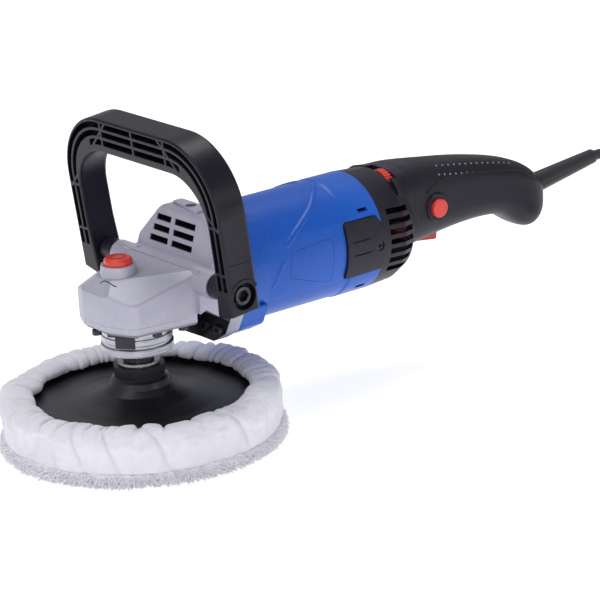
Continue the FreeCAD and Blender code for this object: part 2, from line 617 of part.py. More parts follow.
def section(x, low, high, half, shrink=0.0):
    """A rounded upright section of the grip."""
    centre = Vector(x, 0, (low + high) / 2)
    points = []
    for k in range(20):
        turn = math.tau * k / 20
        swell = (abs(math.cos(turn)) ** GRIP_SQUARENESS
                 + abs(math.sin(turn)) ** GRIP_SQUARENESS) ** (-1 / GRIP_SQUARENESS)
        points.append(centre + Vector(0, (half - shrink) * swell * math.cos(turn),
                                      ((high - low) / 2 - shrink) * swell * math.sin(turn)))
    curve = Part.BSplineCurve()
    curve.interpolate(points, PeriodicFlag=True)
    return Part.Wire(curve.toShape())


def grip_solid(shrink=0.0, stations=GRIP_STATIONS):
    return Part.makeLoft([section(*station, shrink) for station in stations], True, False)


def rear_cup(shrink=0.0):
    radius, front = size("motor_radius") + 0.8 - shrink, size("motor_rear")
    rear = size("cover_rear") - shrink
    return along_motor([(front, 0), (front, radius), (front + 22, radius - 1.5), (front + 33, radius - 6),
                        (rear - 3, radius - 13), (rear, radius - 18.5), (rear, 0)])


def trigger_shape():
    pivot_x, pivot_z = size("trigger_pivot_x"), size("trigger_pivot_height")
    corners = [(pivot_x - 6.5, 87.5), (270, 83.7), (271, 92), (275, 97), (273, 104), (pivot_x, 105.5),
               (pivot_x - 6.5, 102)]
    half = size("trigger_width") / 2
    return prism(corners, [1.5, 1.5, 1, 1, 2, 4, 3], "Y", -half, half)


def rear_shells():
    wall, seam, axis = size("grip_wall"), size("cover_rear"), size("motor_axis")
    front = size("motor_rear")
    before = box((front, -70, 40), (seam, 70, 170))
    cup = rear_cup().fuse(grip_solid().common(before))
    hollow = rear_cup(wall).fuse(grip_solid(wall).common(box((200, -70, 40), (seam + 1, 70, 170))))
    hollow = hollow.fuse(cylinder(size("motor_radius") - 2.2, 12, (front - 4, 0, axis), (1, 0, 0)))
    cuts = [hollow]
    for k in range(7):
        height = 127 - k * 7.3
        bend = 3.0 * math.sin(k / 6 * math.pi)
        slot = box((front + 7, -60, height - 2), (front + 29 + bend, -26, height + 2))
        slot.rotate(Vector(front + 7, 0, height), Vector(0, 1, 0), 4)
        cuts += [slot, mirrored(slot)]
    dial = size("dial_width") / 2 + 0.6
    dial_x, dial_y = size("dial_x"), size("dial_y")
    cuts.append(box((dial_x - dial, dial_y - 14.6, 128), (dial_x + dial, dial_y + 14.6, 160)))
    shaped("rear_cover", cup.cut(cuts).removeSplitter())

    inner = grip_solid(wall, GRIP_STATIONS[:-1]).cut(box((376, -70, 20), (400, 70, 170)))
    half = size("trigger_width") / 2 + 0.5
    lock_x, lock_z = size("lock_on_x"), size("lock_on_height")
    pivot_x, pivot_z = size("trigger_pivot_x"), size("trigger_pivot_height")
    cover_line = prism([(246, 128), (258, 131.5), (266, 134), (300, 131.5), (342, 124), (362, 112), (374, 150),
                        (246, 160)], [1, 3, 5, 30, 30, 3, 1, 1], "Y", -60, 60)
    skin = grip_solid().cut(grip_solid(1.3)).common(cover_line)
    shaped("grip_overmould", skin)
    for side, name in ((-1, "near"), (1, "far")):
        near, far = sorted((side * 0.05, side * 60))
        guard = prism([(240, 99), (240, 91.7), (268, 92.6), (271, 93.3), (278, 99.5)], 0, "Y",
                      *sorted((side * half, side * 16)))
        piece = grip_solid().common(box((seam + 0.2, near, 20), (420, far, 170))).fuse(guard)
        if side < 0:
            piece = piece.fuse(Part.makeCone(11.8, 10.2, 4.2, Vector(lock_x, -25, lock_z), Vector(0, -1, 0)))
        piece = piece.cut([inner, box((240.5, -half, 80), (276, half, 110))])
        piece = piece.cut(cylinder(8.2, 30, (370, 0, 101.1), (1, 0, 0.14)))
        piece = piece.fuse(cylinder(3.6, 7.2, (pivot_x, side * 11, pivot_z), (0, side, 0)))
        piece = piece.cut(cylinder(1.81, 32, (pivot_x, -16, pivot_z), (0, 1, 0)))
        if side < 0:
            piece = piece.cut(cylinder(size("lock_on_radius") + 0.3, 20, (lock_x, -12, lock_z), (0, -1, 0)))
        shaped("grip_half_" + name, piece.cut(skin))


def controls():
    pivot = (size("trigger_pivot_x"), -20, size("trigger_pivot_height"))
    pivot_bore = cylinder(1.8 + size("running_gap"), 40, pivot, (0, 1, 0))
    shaped("trigger", trigger_shape().cut(pivot_bore))
    pin = rod("trigger_pin", "Y", "1.8", "32", "trigger_pivot_x", "-16", "trigger_pivot_height")
    sub_part(pin, "trigger_pin")
    lock_x, lock_z, radius = size("lock_on_x"), size("lock_on_height"), size("lock_on_radius")
    cap = cylinder(radius, 12.4, (lock_x, -32.4, lock_z), (0, 1, 0))
    cap = cap.makeFillet(1.2, [edge for edge in cap.Edges if edge.BoundBox.YMax < -32])
    shaped("lock_on_button", cap.fuse(cylinder(3, 8, (lock_x, -20, lock_z), (0, 1, 0))).removeSplitter())
    width, radius = size("dial_width"), size("dial_radius")
    x, y, z = size("dial_x"), size("dial_y"), size("dial_height")
    notches = []
    for k in range(30):
        turn = math.tau * k / 30
        notches.append(cylinder(0.6, width + 2, (x - width / 2 - 1, y + radius * math.cos(turn),
                                                 z + radius * math.sin(turn)), (1, 0, 0)))
    notches.append(cylinder(2 + size("running_gap"), width + 2, (x - width / 2 - 1, y, z), (1, 0, 0)))
    shaped("speed_dial", cylinder(radius, width, (x - width / 2, y, z), (1, 0, 0)).cut(notches))
    fork = [box((x + side * 5 - 1, y - 4, 116), (x + side * 5 + 1, y + 4, z + 4)) for side in (-1, 1)]
    fork.append(cylinder(2, 11, (x - 5.5, y, z), (1, 0, 0)))
    module = box((x - 9, -15, 108), (x + 9, 15, 119)).fuse(fork)
    shaped("speed_control", module.removeSplitter())
    shaped("switch_block", box((281, -9.5, 102), (318, 9.5, 124)))
    shaped("cord_clamp", box((340, -11, 104), (350, 11, 110)))


# ---- loop handle -----------------------------------------------------------------------------

def loop_outline(inset, low, high_cut=0.0):
    """A D-shaped outline in the handle's own plane, inset from its outer edge."""
    half, top = size("loop_half_width") - inset, size("loop_top") - inset - high_cut
    corner = max(size("loop_corner") - inset, 14)
    return [(-half + 1.5, low), (-half, top), (half, top), (half - 1.5, low)], [0, corner, corner, 0]


def loop_solid(inset, low, front, back, high_cut=0.0):
    corners, rounds = loop_outline(inset, low, high_cut)
    face = Part.Face(rounded(corners, rounds, lambda p: Vector(front, p.x, p.y)))
    return face.extrude(Vector(back - front, 0, 0))


def loop_handle():
    depth, leg, bar, foot = size("loop_depth"), size("loop_leg"), size("loop_bar"), size("loop_foot")
    bolt_x, bolt_z = size("bolt_x"), size("bolt_height")
    outside = loop_solid(0, -foot + 4, -depth / 2, depth / 2)
    inside = loop_solid(leg, -foot - 5, -depth, depth, bar - leg)
    ring = outside.cut(inside)
    half = size("loop_half_width")
    for side in (-1, 1):
        corners = [(side * (half - 20), -foot), (side * (half - 1.5), -foot + 4),
                   (side * (half - 1.3), 20), (side * (half - leg - 0.5), 26)]
        ring = ring.fuse(prism(corners, 0, "X", -depth / 2, depth / 2))
    ring = ring.removeSplitter()
    long_edges = [edge for edge in ring.Edges
                  if abs(edge.BoundBox.XMin - edge.BoundBox.XMax) < 0.01 and edge.BoundBox.ZMax > 30]
    ring = ring.makeFillet(3.2, [edge for edge in long_edges if edge.BoundBox.XMin > 0])
    front_edges = [edge for edge in ring.Edges
                   if edge.BoundBox.XMax < 0.1 - depth / 2 and edge.BoundBox.ZMax > 30]
    ring = ring.makeFillet(1.8, front_edges)
    rows = []
    for near, far in ((2.2, 6.4), (8.4, 12.6), (14.8, 19.2)):
        row = loop_solid(near, 6, -depth, -depth / 2 + 14)
        rows.append(row.cut(loop_solid(far, 0, -depth - 1, depth)))
    upper = box((-depth, -half + 38, 60), (depth, half - 38, 140))
    rows[2] = rows[2].common(upper)
    slots = rows[0].fuse(rows[1:])
    for level in (18, 52):
        slots = slots.cut(box((-40, -110, level - 1), (40, 110, level + 1)))
    for offset in (-38, 0, 38):
        slots = slots.cut(box((-40, offset - 1, 60), (40, offset + 1, 130)))
    for side in (-1, 1):
        rib = box((-40, -0.9, -40), (40, 0.9, 60))
        rib.rotate(Vector(), Vector(1, 0, 0), 45 * side)
        rib.translate(Vector(0, side * 60, 78))
        slots = slots.cut(rib)
    ring = ring.cut(slots)
    for side in (-1, 1):
        ring = ring.cut(cylinder(5.3, 60, (0, side * 60, 0), (0, side, 0)))
        ring = ring.cut(cylinder(9.5, 20, (0, side * (half - 8), 0), (0, side, 0)))
    ring.rotate(Vector(), Vector(0, 1, 0), -size("loop_lean"))
    ring.translate(Vector(bolt_x, 0, bolt_z))
    shaped("loop_handle", ring)

    bolts, spacers = [], []
    for side in (-1, 1):
        head = cylinder(6.4, 5, (bolt_x, side * (half - 7.95), bolt_z), (0, side, 0))
        hexagon = [Vector(bolt_x + 4.4 * math.cos(k * math.pi / 3), side * (half - 7),
                          bolt_z + 4.4 * math.sin(k * math.pi / 3)) for k in range(7)]
        head = head.cut(Part.Face(Part.makePolygon(hexagon)).extrude(Vector(0, side * 6, 0)))
        bolts.append(head.fuse(cylinder(5, half - 46, (bolt_x, side * 38.05, bolt_z), (0, side, 0))))
        sleeve = cylinder(8.5, 14, (bolt_x, side * 58, bolt_z), (0, side, 0))
        spacers.append(sleeve.cut(cylinder(5.3, 18, (bolt_x, side * 56, bolt_z), (0, side, 0))))
    shaped("handle_bolts", Part.makeCompound(bolts))
    shaped("handle_spacers", Part.makeCompound(spacers))


# ---- mains cord ------------------------------------------------------------------------------

# From the strain relief down to the floor, where the coil lies.
CORD_ROUTE = [(440, 0, 111), (476, -2, 112), (510, -6, 100), (533, -14, 72), (548, -26, 39),
              (561, -44, 12), (571, -70, 0.1), (572, -97, 0.1)]
# From the coil's top layer over the coil to the plug that lies on it.
TAIL_ROUTE = [(502, -86.8, 16), (522.8, -74.8, 22.5), (546.4, -79, 27), (561.8, -97.4, 28.7),
              (561.8, -121.4, 28.7)]


def cord_tube(label, route):
    """Straight runs joined by tangent arcs, as large as the runs allow."""
    points = [Vector(*point) for point in route]
    edges = []
    start = points[0]
    for before, here, after in zip(points, points[1:], points[2:]):
        back, ahead = before - here, after - here
        turn = math.pi - back.getAngle(ahead)
        reach = 0.45 * min(back.Length, ahead.Length)
        radius = reach / math.tan(turn / 2)
        back.normalize()
        ahead.normalize()
        first, last = here + back * reach, here + ahead * reach
        centre_way = (back + ahead).normalize()
        middle = here + centre_way * (radius / math.cos(turn / 2) - radius)
        edges.append(Part.LineSegment(start, first).toShape())
        edges.append(Part.Arc(first, middle, last).toShape())
        start = last
    edges.append(Part.LineSegment(start, points[-1]).toShape())
    path = Part.Wire(edges)
    radius = size("cord_radius")
    ring = Part.Wire([Part.Circle(points[0], points[1] - points[0], radius).toShape()])
    shaped(label, path.makePipeShell([ring], True, False))


def cord_and_plug():
    boot_start, boot_end = Vector(372, 0, 101.4), Vector(*CORD_ROUTE[0])
    way = boot_end - boot_start
    shaped("strain_relief", Part.makeCone(8.2, 5.6, way.Length, boot_start, way))
    cord_tube("cord", CORD_ROUTE)
    tube("cord_coil", "Z", "coil_outer", "coil_inner", "coil_height", "coil_x", "coil_y", "0 - face_drop")
    cord_tube("cord_tail", TAIL_ROUTE)
    x, y, z = TAIL_ROUTE[-1]
    half, thick, body = size("plug_half_width"), size("plug_thickness") / 2, size("plug_length")
    relief = size("plug_relief")
    collar = Part.makeCone(size("cord_radius") + 0.8, thick, relief, Vector(x, y, z), Vector(0, -1, 0))
    corners = [(x - 11, y - relief), (x - half, y - relief - 14), (x - half, y - relief - body),
               (x + half, y - relief - body), (x + half, y - relief - 14), (x + 11, y - relief)]
    moulding = prism(corners, [4, 6, 3, 3, 6, 4], "Z", z - thick, z + thick)
    shaped("plug", moulding.fuse(collar).removeSplitter())
    pins = []
    for side in (-1, 1):
        pins.append(rod("plug_pin", "Y", "plug_pin_radius", "19",
                        str(x + side * 9.5), str(y - relief - body - 19), str(z)))
    grouped("plug_pins", pins)


polishing_pad()
spindle()
gears()
gear_head()
gear_case_fittings()
lock_button()
motor_housing()
motor_parts()
motor_fixed_parts()
rear_shells()
controls()
loop_handle()
cord_and_plug()

doc.recompute()
for item in doc.Objects:
    if "Invalid" in item.State or "Error" in item.State:
        raise RuntimeError(item.Label + " did not recompute")
os.makedirs("parts", exist_ok=True)
for item in nodes:
    if item.Shape.isNull() or not item.Shape.isValid():
        raise RuntimeError(item.Label + " has no valid shape")
    item.Shape.exportStep("parts/%s.step" % item.Label)
    print(item.Label, len(item.Shape.Solids), "%.1f cm3" % (item.Shape.Volume / 1000))
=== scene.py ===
# %% [markdown]
# # A rotary polisher
# The polisher is packed from its CAD parts, and this lesson gives those parts their looks. The
# hard parts keep their CAD shape and get better materials. The soft and fine parts, which are
# the bonnet, the cord and the moulded marks, are built here as new pieces. Everything is in
# metres in the CAD frame: the spindle axis is Z, and the motor runs along +X.

# %% Load the frame
import json
import math
import random
import bpy
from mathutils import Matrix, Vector, noise
from mathutils.bvhtree import BVHTree


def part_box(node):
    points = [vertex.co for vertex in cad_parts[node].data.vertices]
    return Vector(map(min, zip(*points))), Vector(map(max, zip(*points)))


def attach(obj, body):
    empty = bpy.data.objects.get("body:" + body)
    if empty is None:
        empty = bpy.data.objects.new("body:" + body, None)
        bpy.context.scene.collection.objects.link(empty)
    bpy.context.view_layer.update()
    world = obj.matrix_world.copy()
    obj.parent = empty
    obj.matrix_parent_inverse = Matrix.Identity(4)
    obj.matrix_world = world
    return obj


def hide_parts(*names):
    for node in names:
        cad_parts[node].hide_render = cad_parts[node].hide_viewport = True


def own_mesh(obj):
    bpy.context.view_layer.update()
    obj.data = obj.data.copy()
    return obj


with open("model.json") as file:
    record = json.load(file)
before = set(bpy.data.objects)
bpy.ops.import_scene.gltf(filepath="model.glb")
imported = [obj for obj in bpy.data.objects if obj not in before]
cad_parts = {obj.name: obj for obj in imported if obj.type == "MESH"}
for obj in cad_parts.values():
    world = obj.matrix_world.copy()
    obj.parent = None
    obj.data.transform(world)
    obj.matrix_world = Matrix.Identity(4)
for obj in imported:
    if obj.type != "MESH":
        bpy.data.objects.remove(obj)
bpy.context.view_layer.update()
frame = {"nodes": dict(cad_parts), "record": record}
nodes = frame["nodes"]

# %% [markdown]
# ## Camera, light and floor
# A long lens far away keeps the tool's proportions, as a catalogue picture does. Four soft
# lamps and a bright sky give broad, plain highlights, and the floor is a pale sweep that only
# catches a faint shadow. The Standard view keeps the blue and the red as strong as they are.

# %% Camera
camera_data = bpy.data.cameras.new("camera")
camera_data.sensor_width = 36
camera_data.lens = 174
camera_data.clip_end = 30
camera = bpy.data.objects.new("camera", camera_data)
camera.location = (-1.069, -1.611, 0.731)
camera.rotation_euler = [math.radians(angle) for angle in (71.773, 3.040, -38.001)]
scene = bpy.context.scene
scene.collection.objects.link(camera)
scene.camera = camera
scene.view_settings.view_transform = "Standard"

# %% Lamps and sky
def soft_lamp(name, place, target, width, power):
    """A square area lamp at one place, turned towards another."""
    data = bpy.data.lights.new(name, "AREA")
    data.size = width
    data.energy = power
    lamp = bpy.data.objects.new(name, data)
    lamp.location = place
    lamp.rotation_euler = (Vector(target) - Vector(place)).to_track_quat("-Z", "Y").to_euler()
    scene.collection.objects.link(lamp)


soft_lamp("key", (-1.5, -0.1, 1.8), (0.05, 0, 0.08), 1.4, 13)
soft_lamp("top", (0.5, 0.5, 2.1), (0.2, 0, 0.1), 1.1, 17)
soft_lamp("side", (0.9, -2.2, 0.8), (0.2, 0, 0.1), 0.7, 4)
soft_lamp("front", (-1.2, -1.9, 0.45), (0.0, 0, 0.02), 1.4, 9)
world = bpy.data.worlds.new("studio")
scene.world = world
world.use_nodes = True
world.node_tree.nodes["Background"].inputs["Color"].default_value = (0.93, 0.94, 1.0, 1)
world.node_tree.nodes["Background"].inputs["Strength"].default_value = 0.45

# %% [markdown]
# ## Shared surface effects
# Moulded plastic, cast metal, rubber and cloth differ, but they share a few effects: a fine
# grain that breaks up the highlight, slow patches where the finish is a little duller, and edges
# that are rounded and rubbed. Each effect is one node group with named sockets, so a material
# only chooses its own strengths.

# %% Node helpers
def add_node(tree, kind, **values):
    """A node with its properties and its input values set by name, _ standing for a space."""
    made = tree.nodes.new(kind)
    for name, value in values.items():
        title = name.replace("_", " ")
        if hasattr(made, name):
            setattr(made, name, value)
        elif title in made.inputs:
            made.inputs[title].default_value = value
        else:
            made.inputs[title.title()].default_value = value
    return made


def new_group(name, inputs, outputs):
    """An empty node group: inputs are (name, default), outputs (name, kind)."""
    tree = bpy.data.node_groups.new(name, "ShaderNodeTree")
    for title, default in inputs:
        socket = tree.interface.new_socket(title, in_out="INPUT", socket_type="NodeSocketFloat")
        socket.default_value = default
    for title, kind in outputs:
        tree.interface.new_socket(title, in_out="OUTPUT", socket_type="NodeSocket" + kind)
    return tree, tree.nodes.new("NodeGroupInput"), tree.nodes.new("NodeGroupOutput")


def join(tree, start, end):
    """A link from an output socket to an input socket."""
    tree.links.new(start, end)


# %% Fine grain
def build_grain():
    tree, given, result = new_group("fine grain", [("Scale", 900.0)],
                                    [("Height", "Float"), ("Patches", "Float")])
    place = add_node(tree, "ShaderNodeTexCoord")
    fine = add_node(tree, "ShaderNodeTexNoise", Detail=3.0, Roughness=0.6)
    patch = add_node(tree, "ShaderNodeTexNoise", Scale=22.0, Detail=4.0, Roughness=0.55)
    join(tree, place.outputs["Object"], fine.inputs["Vector"])
    join(tree, place.outputs["Object"], patch.inputs["Vector"])
    join(tree, given.outputs["Scale"], fine.inputs["Scale"])
    join(tree, fine.outputs["Fac"], result.inputs["Height"])
    join(tree, patch.outputs["Fac"], result.inputs["Patches"])
    return tree


grain = build_grain()

# %% Rubbed edges
def build_rubbed_edges():
    """Bright where the surface is sharply convex, broken up by noise."""
    tree, given, result = new_group("rubbed edges", [("Amount", 0.5)], [("Mask", "Float")])
    place = add_node(tree, "ShaderNodeTexCoord")
    shape = add_node(tree, "ShaderNodeNewGeometry")
    speckle = add_node(tree, "ShaderNodeTexNoise", Scale=160.0, Detail=4.0)
    edge = add_node(tree, "ShaderNodeMapRange")
    edge.inputs["From Min"].default_value = 0.53
    edge.inputs["From Max"].default_value = 0.62
    broken = add_node(tree, "ShaderNodeMath", operation="MULTIPLY")
    scaled = add_node(tree, "ShaderNodeMath", operation="MULTIPLY", use_clamp=True)
    join(tree, place.outputs["Object"], speckle.inputs["Vector"])
    join(tree, shape.outputs["Pointiness"], edge.inputs["Value"])
    join(tree, edge.outputs["Result"], broken.inputs[0])
    join(tree, speckle.outputs["Fac"], broken.inputs[1])
    join(tree, broken.outputs["Value"], scaled.inputs[0])
    join(tree, given.outputs["Amount"], scaled.inputs[1])
    join(tree, scaled.outputs["Value"], result.inputs["Mask"])
    return tree


rubbed_edges = build_rubbed_edges()

# %% Cloth weave
def build_weave():
    """Crossing threads: height for the bump, and a mask for the gaps between them."""
    tree, given, result = new_group("weave", [("Threads", 1100.0)],
                                    [("Height", "Float"), ("Gaps", "Float")])
    place = add_node(tree, "ShaderNodeTexCoord")
    weft = add_node(tree, "ShaderNodeTexWave", bands_direction="Z", Distortion=0.6)
    warp = add_node(tree, "ShaderNodeTexWave", wave_type="RINGS", rings_direction="Z", Distortion=0.6)
    slub = add_node(tree, "ShaderNodeTexNoise", Scale=120.0, Detail=5.0)
    both = add_node(tree, "ShaderNodeMath", operation="MAXIMUM")
    rough = add_node(tree, "ShaderNodeMath", operation="ADD")
    for wave in (weft, warp):
        join(tree, place.outputs["Object"], wave.inputs["Vector"])
        join(tree, given.outputs["Threads"], wave.inputs["Scale"])
    join(tree, place.outputs["Object"], slub.inputs["Vector"])
    join(tree, weft.outputs["Fac"], both.inputs[0])
    join(tree, warp.outputs["Fac"], both.inputs[1])
    join(tree, both.outputs["Value"], rough.inputs[0])
    join(tree, slub.outputs["Fac"], rough.inputs[1])
    join(tree, rough.outputs["Value"], result.inputs["Height"])
    join(tree, slub.outputs["Fac"], result.inputs["Gaps"])
    return tree


weave = build_weave()

# %% Turning marks
def build_turning_marks():
    """Fine rings round the spindle axis, as a lathe tool leaves them."""
    tree, given, result = new_group("turning marks", [("Scale", 1500.0)], [("Height", "Float")])
    place = add_node(tree, "ShaderNodeTexCoord")
    stretch = add_node(tree, "ShaderNodeMapping")
    stretch.inputs["Scale"].default_value = (0.01, 0.01, 1.0)
    rings = add_node(tree, "ShaderNodeTexNoise", Detail=2.0)
    join(tree, place.outputs["Object"], stretch.inputs["Vector"])
    join(tree, stretch.outputs["Vector"], rings.inputs["Vector"])
    join(tree, given.outputs["Scale"], rings.inputs["Scale"])
    join(tree, rings.outputs["Fac"], result.inputs["Height"])
    return tree


turning_marks = build_turning_marks()
print("groups", [g.name for g in bpy.data.node_groups])

# %% [markdown]
# ## Materials
# One recipe serves every hard finish. The colour wanders between two close tones, rubbed edges
# go lighter, the grain roughens the highlight, and a Bevel node rounds the sharp CAD edges so
# that they catch a thin line of light. Numbers that are the same all over stay on the shader.
# The cloth and the wool have a recipe each.

# %% The recipe for hard finishes
def hard_finish(name, colour, dull_colour, worn_colour, roughness, grain_scale=900.0,
                grain_depth=0.15, wear=0.5, edge_radius=0.0006, marks=None, **shader_values):
    material = bpy.data.materials.new(name)
    material.use_nodes = True
    tree = material.node_tree
    shader = tree.nodes["Principled BSDF"]
    for title, value in shader_values.items():
        shader.inputs[title.replace("_", " ")].default_value = value
    fine = add_node(tree, "ShaderNodeGroup", node_tree=grain)
    fine.inputs["Scale"].default_value = grain_scale
    rub = add_node(tree, "ShaderNodeGroup", node_tree=rubbed_edges)
    rub.inputs["Amount"].default_value = wear
    tones = add_node(tree, "ShaderNodeMix", data_type="RGBA")
    tones.inputs["A"].default_value = (*dull_colour, 1)
    tones.inputs["B"].default_value = (*colour, 1)
    worn = add_node(tree, "ShaderNodeMix", data_type="RGBA")
    worn.inputs["B"].default_value = (*worn_colour, 1)
    spread = add_node(tree, "ShaderNodeMapRange")
    spread.inputs["From Min"].default_value = 0.3
    spread.inputs["From Max"].default_value = 0.6
    sheen = add_node(tree, "ShaderNodeMapRange")
    sheen.inputs["To Min"].default_value = roughness - 0.06
    sheen.inputs["To Max"].default_value = roughness + 0.08
    bump = add_node(tree, "ShaderNodeBump", Strength=grain_depth, Distance=0.0004)
    round_edge = add_node(tree, "ShaderNodeBevel", samples=3, Radius=edge_radius)
    join(tree, fine.outputs["Patches"], spread.inputs["Value"])
    join(tree, spread.outputs["Result"], tones.inputs["Factor"])
    join(tree, tones.outputs["Result"], worn.inputs["A"])
    join(tree, rub.outputs["Mask"], worn.inputs["Factor"])
    join(tree, worn.outputs["Result"], shader.inputs["Base Color"])
    join(tree, fine.outputs["Patches"], sheen.inputs["Value"])
    join(tree, sheen.outputs["Result"], shader.inputs["Roughness"])
    height = fine.outputs["Height"]
    if marks is not None:
        turned = add_node(tree, "ShaderNodeGroup", node_tree=marks)
        height = turned.outputs["Height"]
    join(tree, height, bump.inputs["Height"])
    join(tree, round_edge.outputs["Normal"], bump.inputs["Normal"])
    join(tree, bump.outputs["Normal"], shader.inputs["Normal"])
    return material


# %% The finishes of this polisher
cast_grey = hard_finish("cast grey", (0.42, 0.41, 0.50), (0.37, 0.36, 0.44), (0.60, 0.60, 0.66),
                        0.42, 700, 0.12, 0.6, Metallic=0.25, Specular_IOR_Level=0.5)
vent_black = hard_finish("screw bay black", (0.02, 0.02, 0.026), (0.016, 0.016, 0.02),
                         (0.08, 0.08, 0.09), 0.5, 700, 0.2)
blue_gloss = hard_finish("blue housing", (0.002, 0.085, 0.47), (0.002, 0.075, 0.42),
                         (0.04, 0.17, 0.62), 0.36, 1300, 0.10, 0.4, 0.0008,
                         Specular_IOR_Level=0.35, Coat_Weight=0.06, Coat_Roughness=0.25)
# Dark blue for the outline of the badge panel: painted shade of a groove that is not cut.
groove_shade_blue = hard_finish("panel groove shade", (0.004, 0.018, 0.10), (0.003, 0.015, 0.09),
                        (0.02, 0.05, 0.2), 0.5)
matt_black = hard_finish("matt black plastic", (0.010, 0.009, 0.017), (0.007, 0.006, 0.012),
                         (0.05, 0.05, 0.07), 0.40, 1100, 0.30, 0.3, Specular_IOR_Level=0.26)
handle_black = hard_finish("handle plastic", (0.007, 0.006, 0.012), (0.005, 0.004, 0.009),
                           (0.05, 0.05, 0.07), 0.30, 1500, 0.16, 0.3, 0.0010,
                           Specular_IOR_Level=0.26)
soft_grip = hard_finish("soft grip", (0.010, 0.009, 0.015), (0.007, 0.007, 0.011),
                        (0.04, 0.04, 0.05), 0.50, 1600, 0.35, 0.2, Specular_IOR_Level=0.26)
grip_dot = hard_finish("grip dots", (0.30, 0.30, 0.33), (0.24, 0.24, 0.27), (0.45, 0.45, 0.48), 0.5)
button_red = hard_finish("button red", (0.70, 0.035, 0.015), (0.62, 0.028, 0.012),
                         (0.85, 0.15, 0.10), 0.32, 1300, 0.12, 0.3, Coat_Weight=0.2)
trigger_red = hard_finish("trigger red", (0.42, 0.020, 0.018), (0.36, 0.016, 0.015),
                          (0.6, 0.1, 0.1), 0.38, 1300, 0.15, 0.3)
dark_red = hard_finish("button moulding red", (0.42, 0.016, 0.010), (0.36, 0.014, 0.008),
                       (0.6, 0.1, 0.08), 0.4)
turned_metal = hard_finish("turned aluminium", (0.50, 0.50, 0.54), (0.40, 0.40, 0.44),
                           (0.8, 0.8, 0.82), 0.27, 900, 0.6, 0.3, marks=turning_marks,
                           Metallic=1.0)
bright_steel = hard_finish("bright steel", (0.56, 0.56, 0.58), (0.46, 0.46, 0.48),
                           (0.75, 0.75, 0.77), 0.28, 1200, 0.2, 0.4, Metallic=1.0)
black_steel = hard_finish("blackened steel", (0.022, 0.021, 0.026), (0.016, 0.016, 0.020),
                          (0.20, 0.20, 0.21), 0.40, 1000, 0.25, 0.5, Metallic=0.7)
gear_steel = hard_finish("oiled gear steel", (0.40, 0.39, 0.37), (0.30, 0.29, 0.27),
                         (0.6, 0.6, 0.6), 0.3, 1000, 0.2, 0.6, Metallic=1.0, Coat_Weight=0.5)
lamination = hard_finish("laminations", (0.20, 0.19, 0.18), (0.14, 0.13, 0.12),
                         (0.4, 0.4, 0.4), 0.45, 1500, 0.5, 0.5, Metallic=0.8)
copper_wire = hard_finish("enamelled copper", (0.62, 0.24, 0.09), (0.45, 0.15, 0.05),
                          (0.8, 0.4, 0.2), 0.3, 1700, 0.8, 0.3, Metallic=0.9)
carbon_block = hard_finish("carbon", (0.025, 0.025, 0.025), (0.015, 0.015, 0.015),
                           (0.1, 0.1, 0.1), 0.55, 900, 0.5)
brass_sheet = hard_finish("brass", (0.70, 0.50, 0.18), (0.58, 0.40, 0.13),
                          (0.85, 0.68, 0.3), 0.3, 1200, 0.2, 0.5, Metallic=1.0)
plate_rubber = hard_finish("plate rubber", (0.010, 0.010, 0.012), (0.007, 0.007, 0.009),
                           (0.05, 0.05, 0.055), 0.33, 1300, 0.10, 0.25, 0.0008)
cord_rubber = hard_finish("cord rubber", (0.018, 0.018, 0.023), (0.014, 0.014, 0.018),
                          (0.06, 0.06, 0.07), 0.42, 1500, 0.22, 0.2)

# %% White cloth
def white_cloth():
    material = bpy.data.materials.new("white cloth")
    material.use_nodes = True
    tree = material.node_tree
    shader = tree.nodes["Principled BSDF"]
    shader.inputs["Roughness"].default_value = 0.85
    shader.inputs["Sheen Weight"].default_value = 0.35
    threads = add_node(tree, "ShaderNodeGroup", node_tree=weave)
    tone = add_node(tree, "ShaderNodeMix", data_type="RGBA")
    tone.inputs["A"].default_value = (0.65, 0.64, 0.70, 1)
    tone.inputs["B"].default_value = (0.78, 0.77, 0.82, 1)
    bump = add_node(tree, "ShaderNodeBump", Strength=0.25, Distance=0.0003)
    join(tree, threads.outputs["Gaps"], tone.inputs["Factor"])
    join(tree, tone.outputs["Result"], shader.inputs["Base Color"])
    join(tree, threads.outputs["Height"], bump.inputs["Height"])
    join(tree, bump.outputs["Normal"], shader.inputs["Normal"])
    return material


cloth = white_cloth()

# %% Wool
def wool_finish():
    material = bpy.data.materials.new("wool pile")
    material.use_nodes = True
    tree = material.node_tree
    shader = tree.nodes["Principled BSDF"]
    shader.inputs["Roughness"].default_value = 0.9
    shader.inputs["Sheen Weight"].default_value = 0.6
    fine = add_node(tree, "ShaderNodeGroup", node_tree=grain)
    fine.inputs["Scale"].default_value = 600
    tone = add_node(tree, "ShaderNodeMix", data_type="RGBA")
    tone.inputs["A"].default_value = (0.84, 0.81, 0.89, 1)
    tone.inputs["B"].default_value = (0.93, 0.90, 0.96, 1)
    bump = add_node(tree, "ShaderNodeBump", Strength=0.6, Distance=0.0008)
    join(tree, fine.outputs["Patches"], tone.inputs["Factor"])
    join(tree, tone.outputs["Result"], shader.inputs["Base Color"])
    join(tree, fine.outputs["Height"], bump.inputs["Height"])
    join(tree, bump.outputs["Normal"], shader.inputs["Normal"])
    return material


wool = wool_finish()

# %% [markdown]
# The cast case has two places of painted shade: the slots in the sloping face, where one looks
# into the case, and the screw bay under the nose. They belong to the casting's own mesh, so a
# mask made from the place on the part paints them near black as shade, and nothing has to be cut.

# %% Painted shade in the case's recesses
SLOPE_LEAN = 8 / 28
SLOPE_FOOT_X, SLOPE_FOOT_Z = 0.036, 0.128
SLOT_SKIN = 0.0009
SLOTS_LOW, SLOTS_HIGH = 0.1320, 0.1530
HUMP_SIDE, HUMP_SIDE_Z, HUMP_TAPER = 0.0415, 0.135, 0.85
BAY_FRONT, BAY_BACK, BAY_TOP = 0.0250, 0.0508, 0.0905


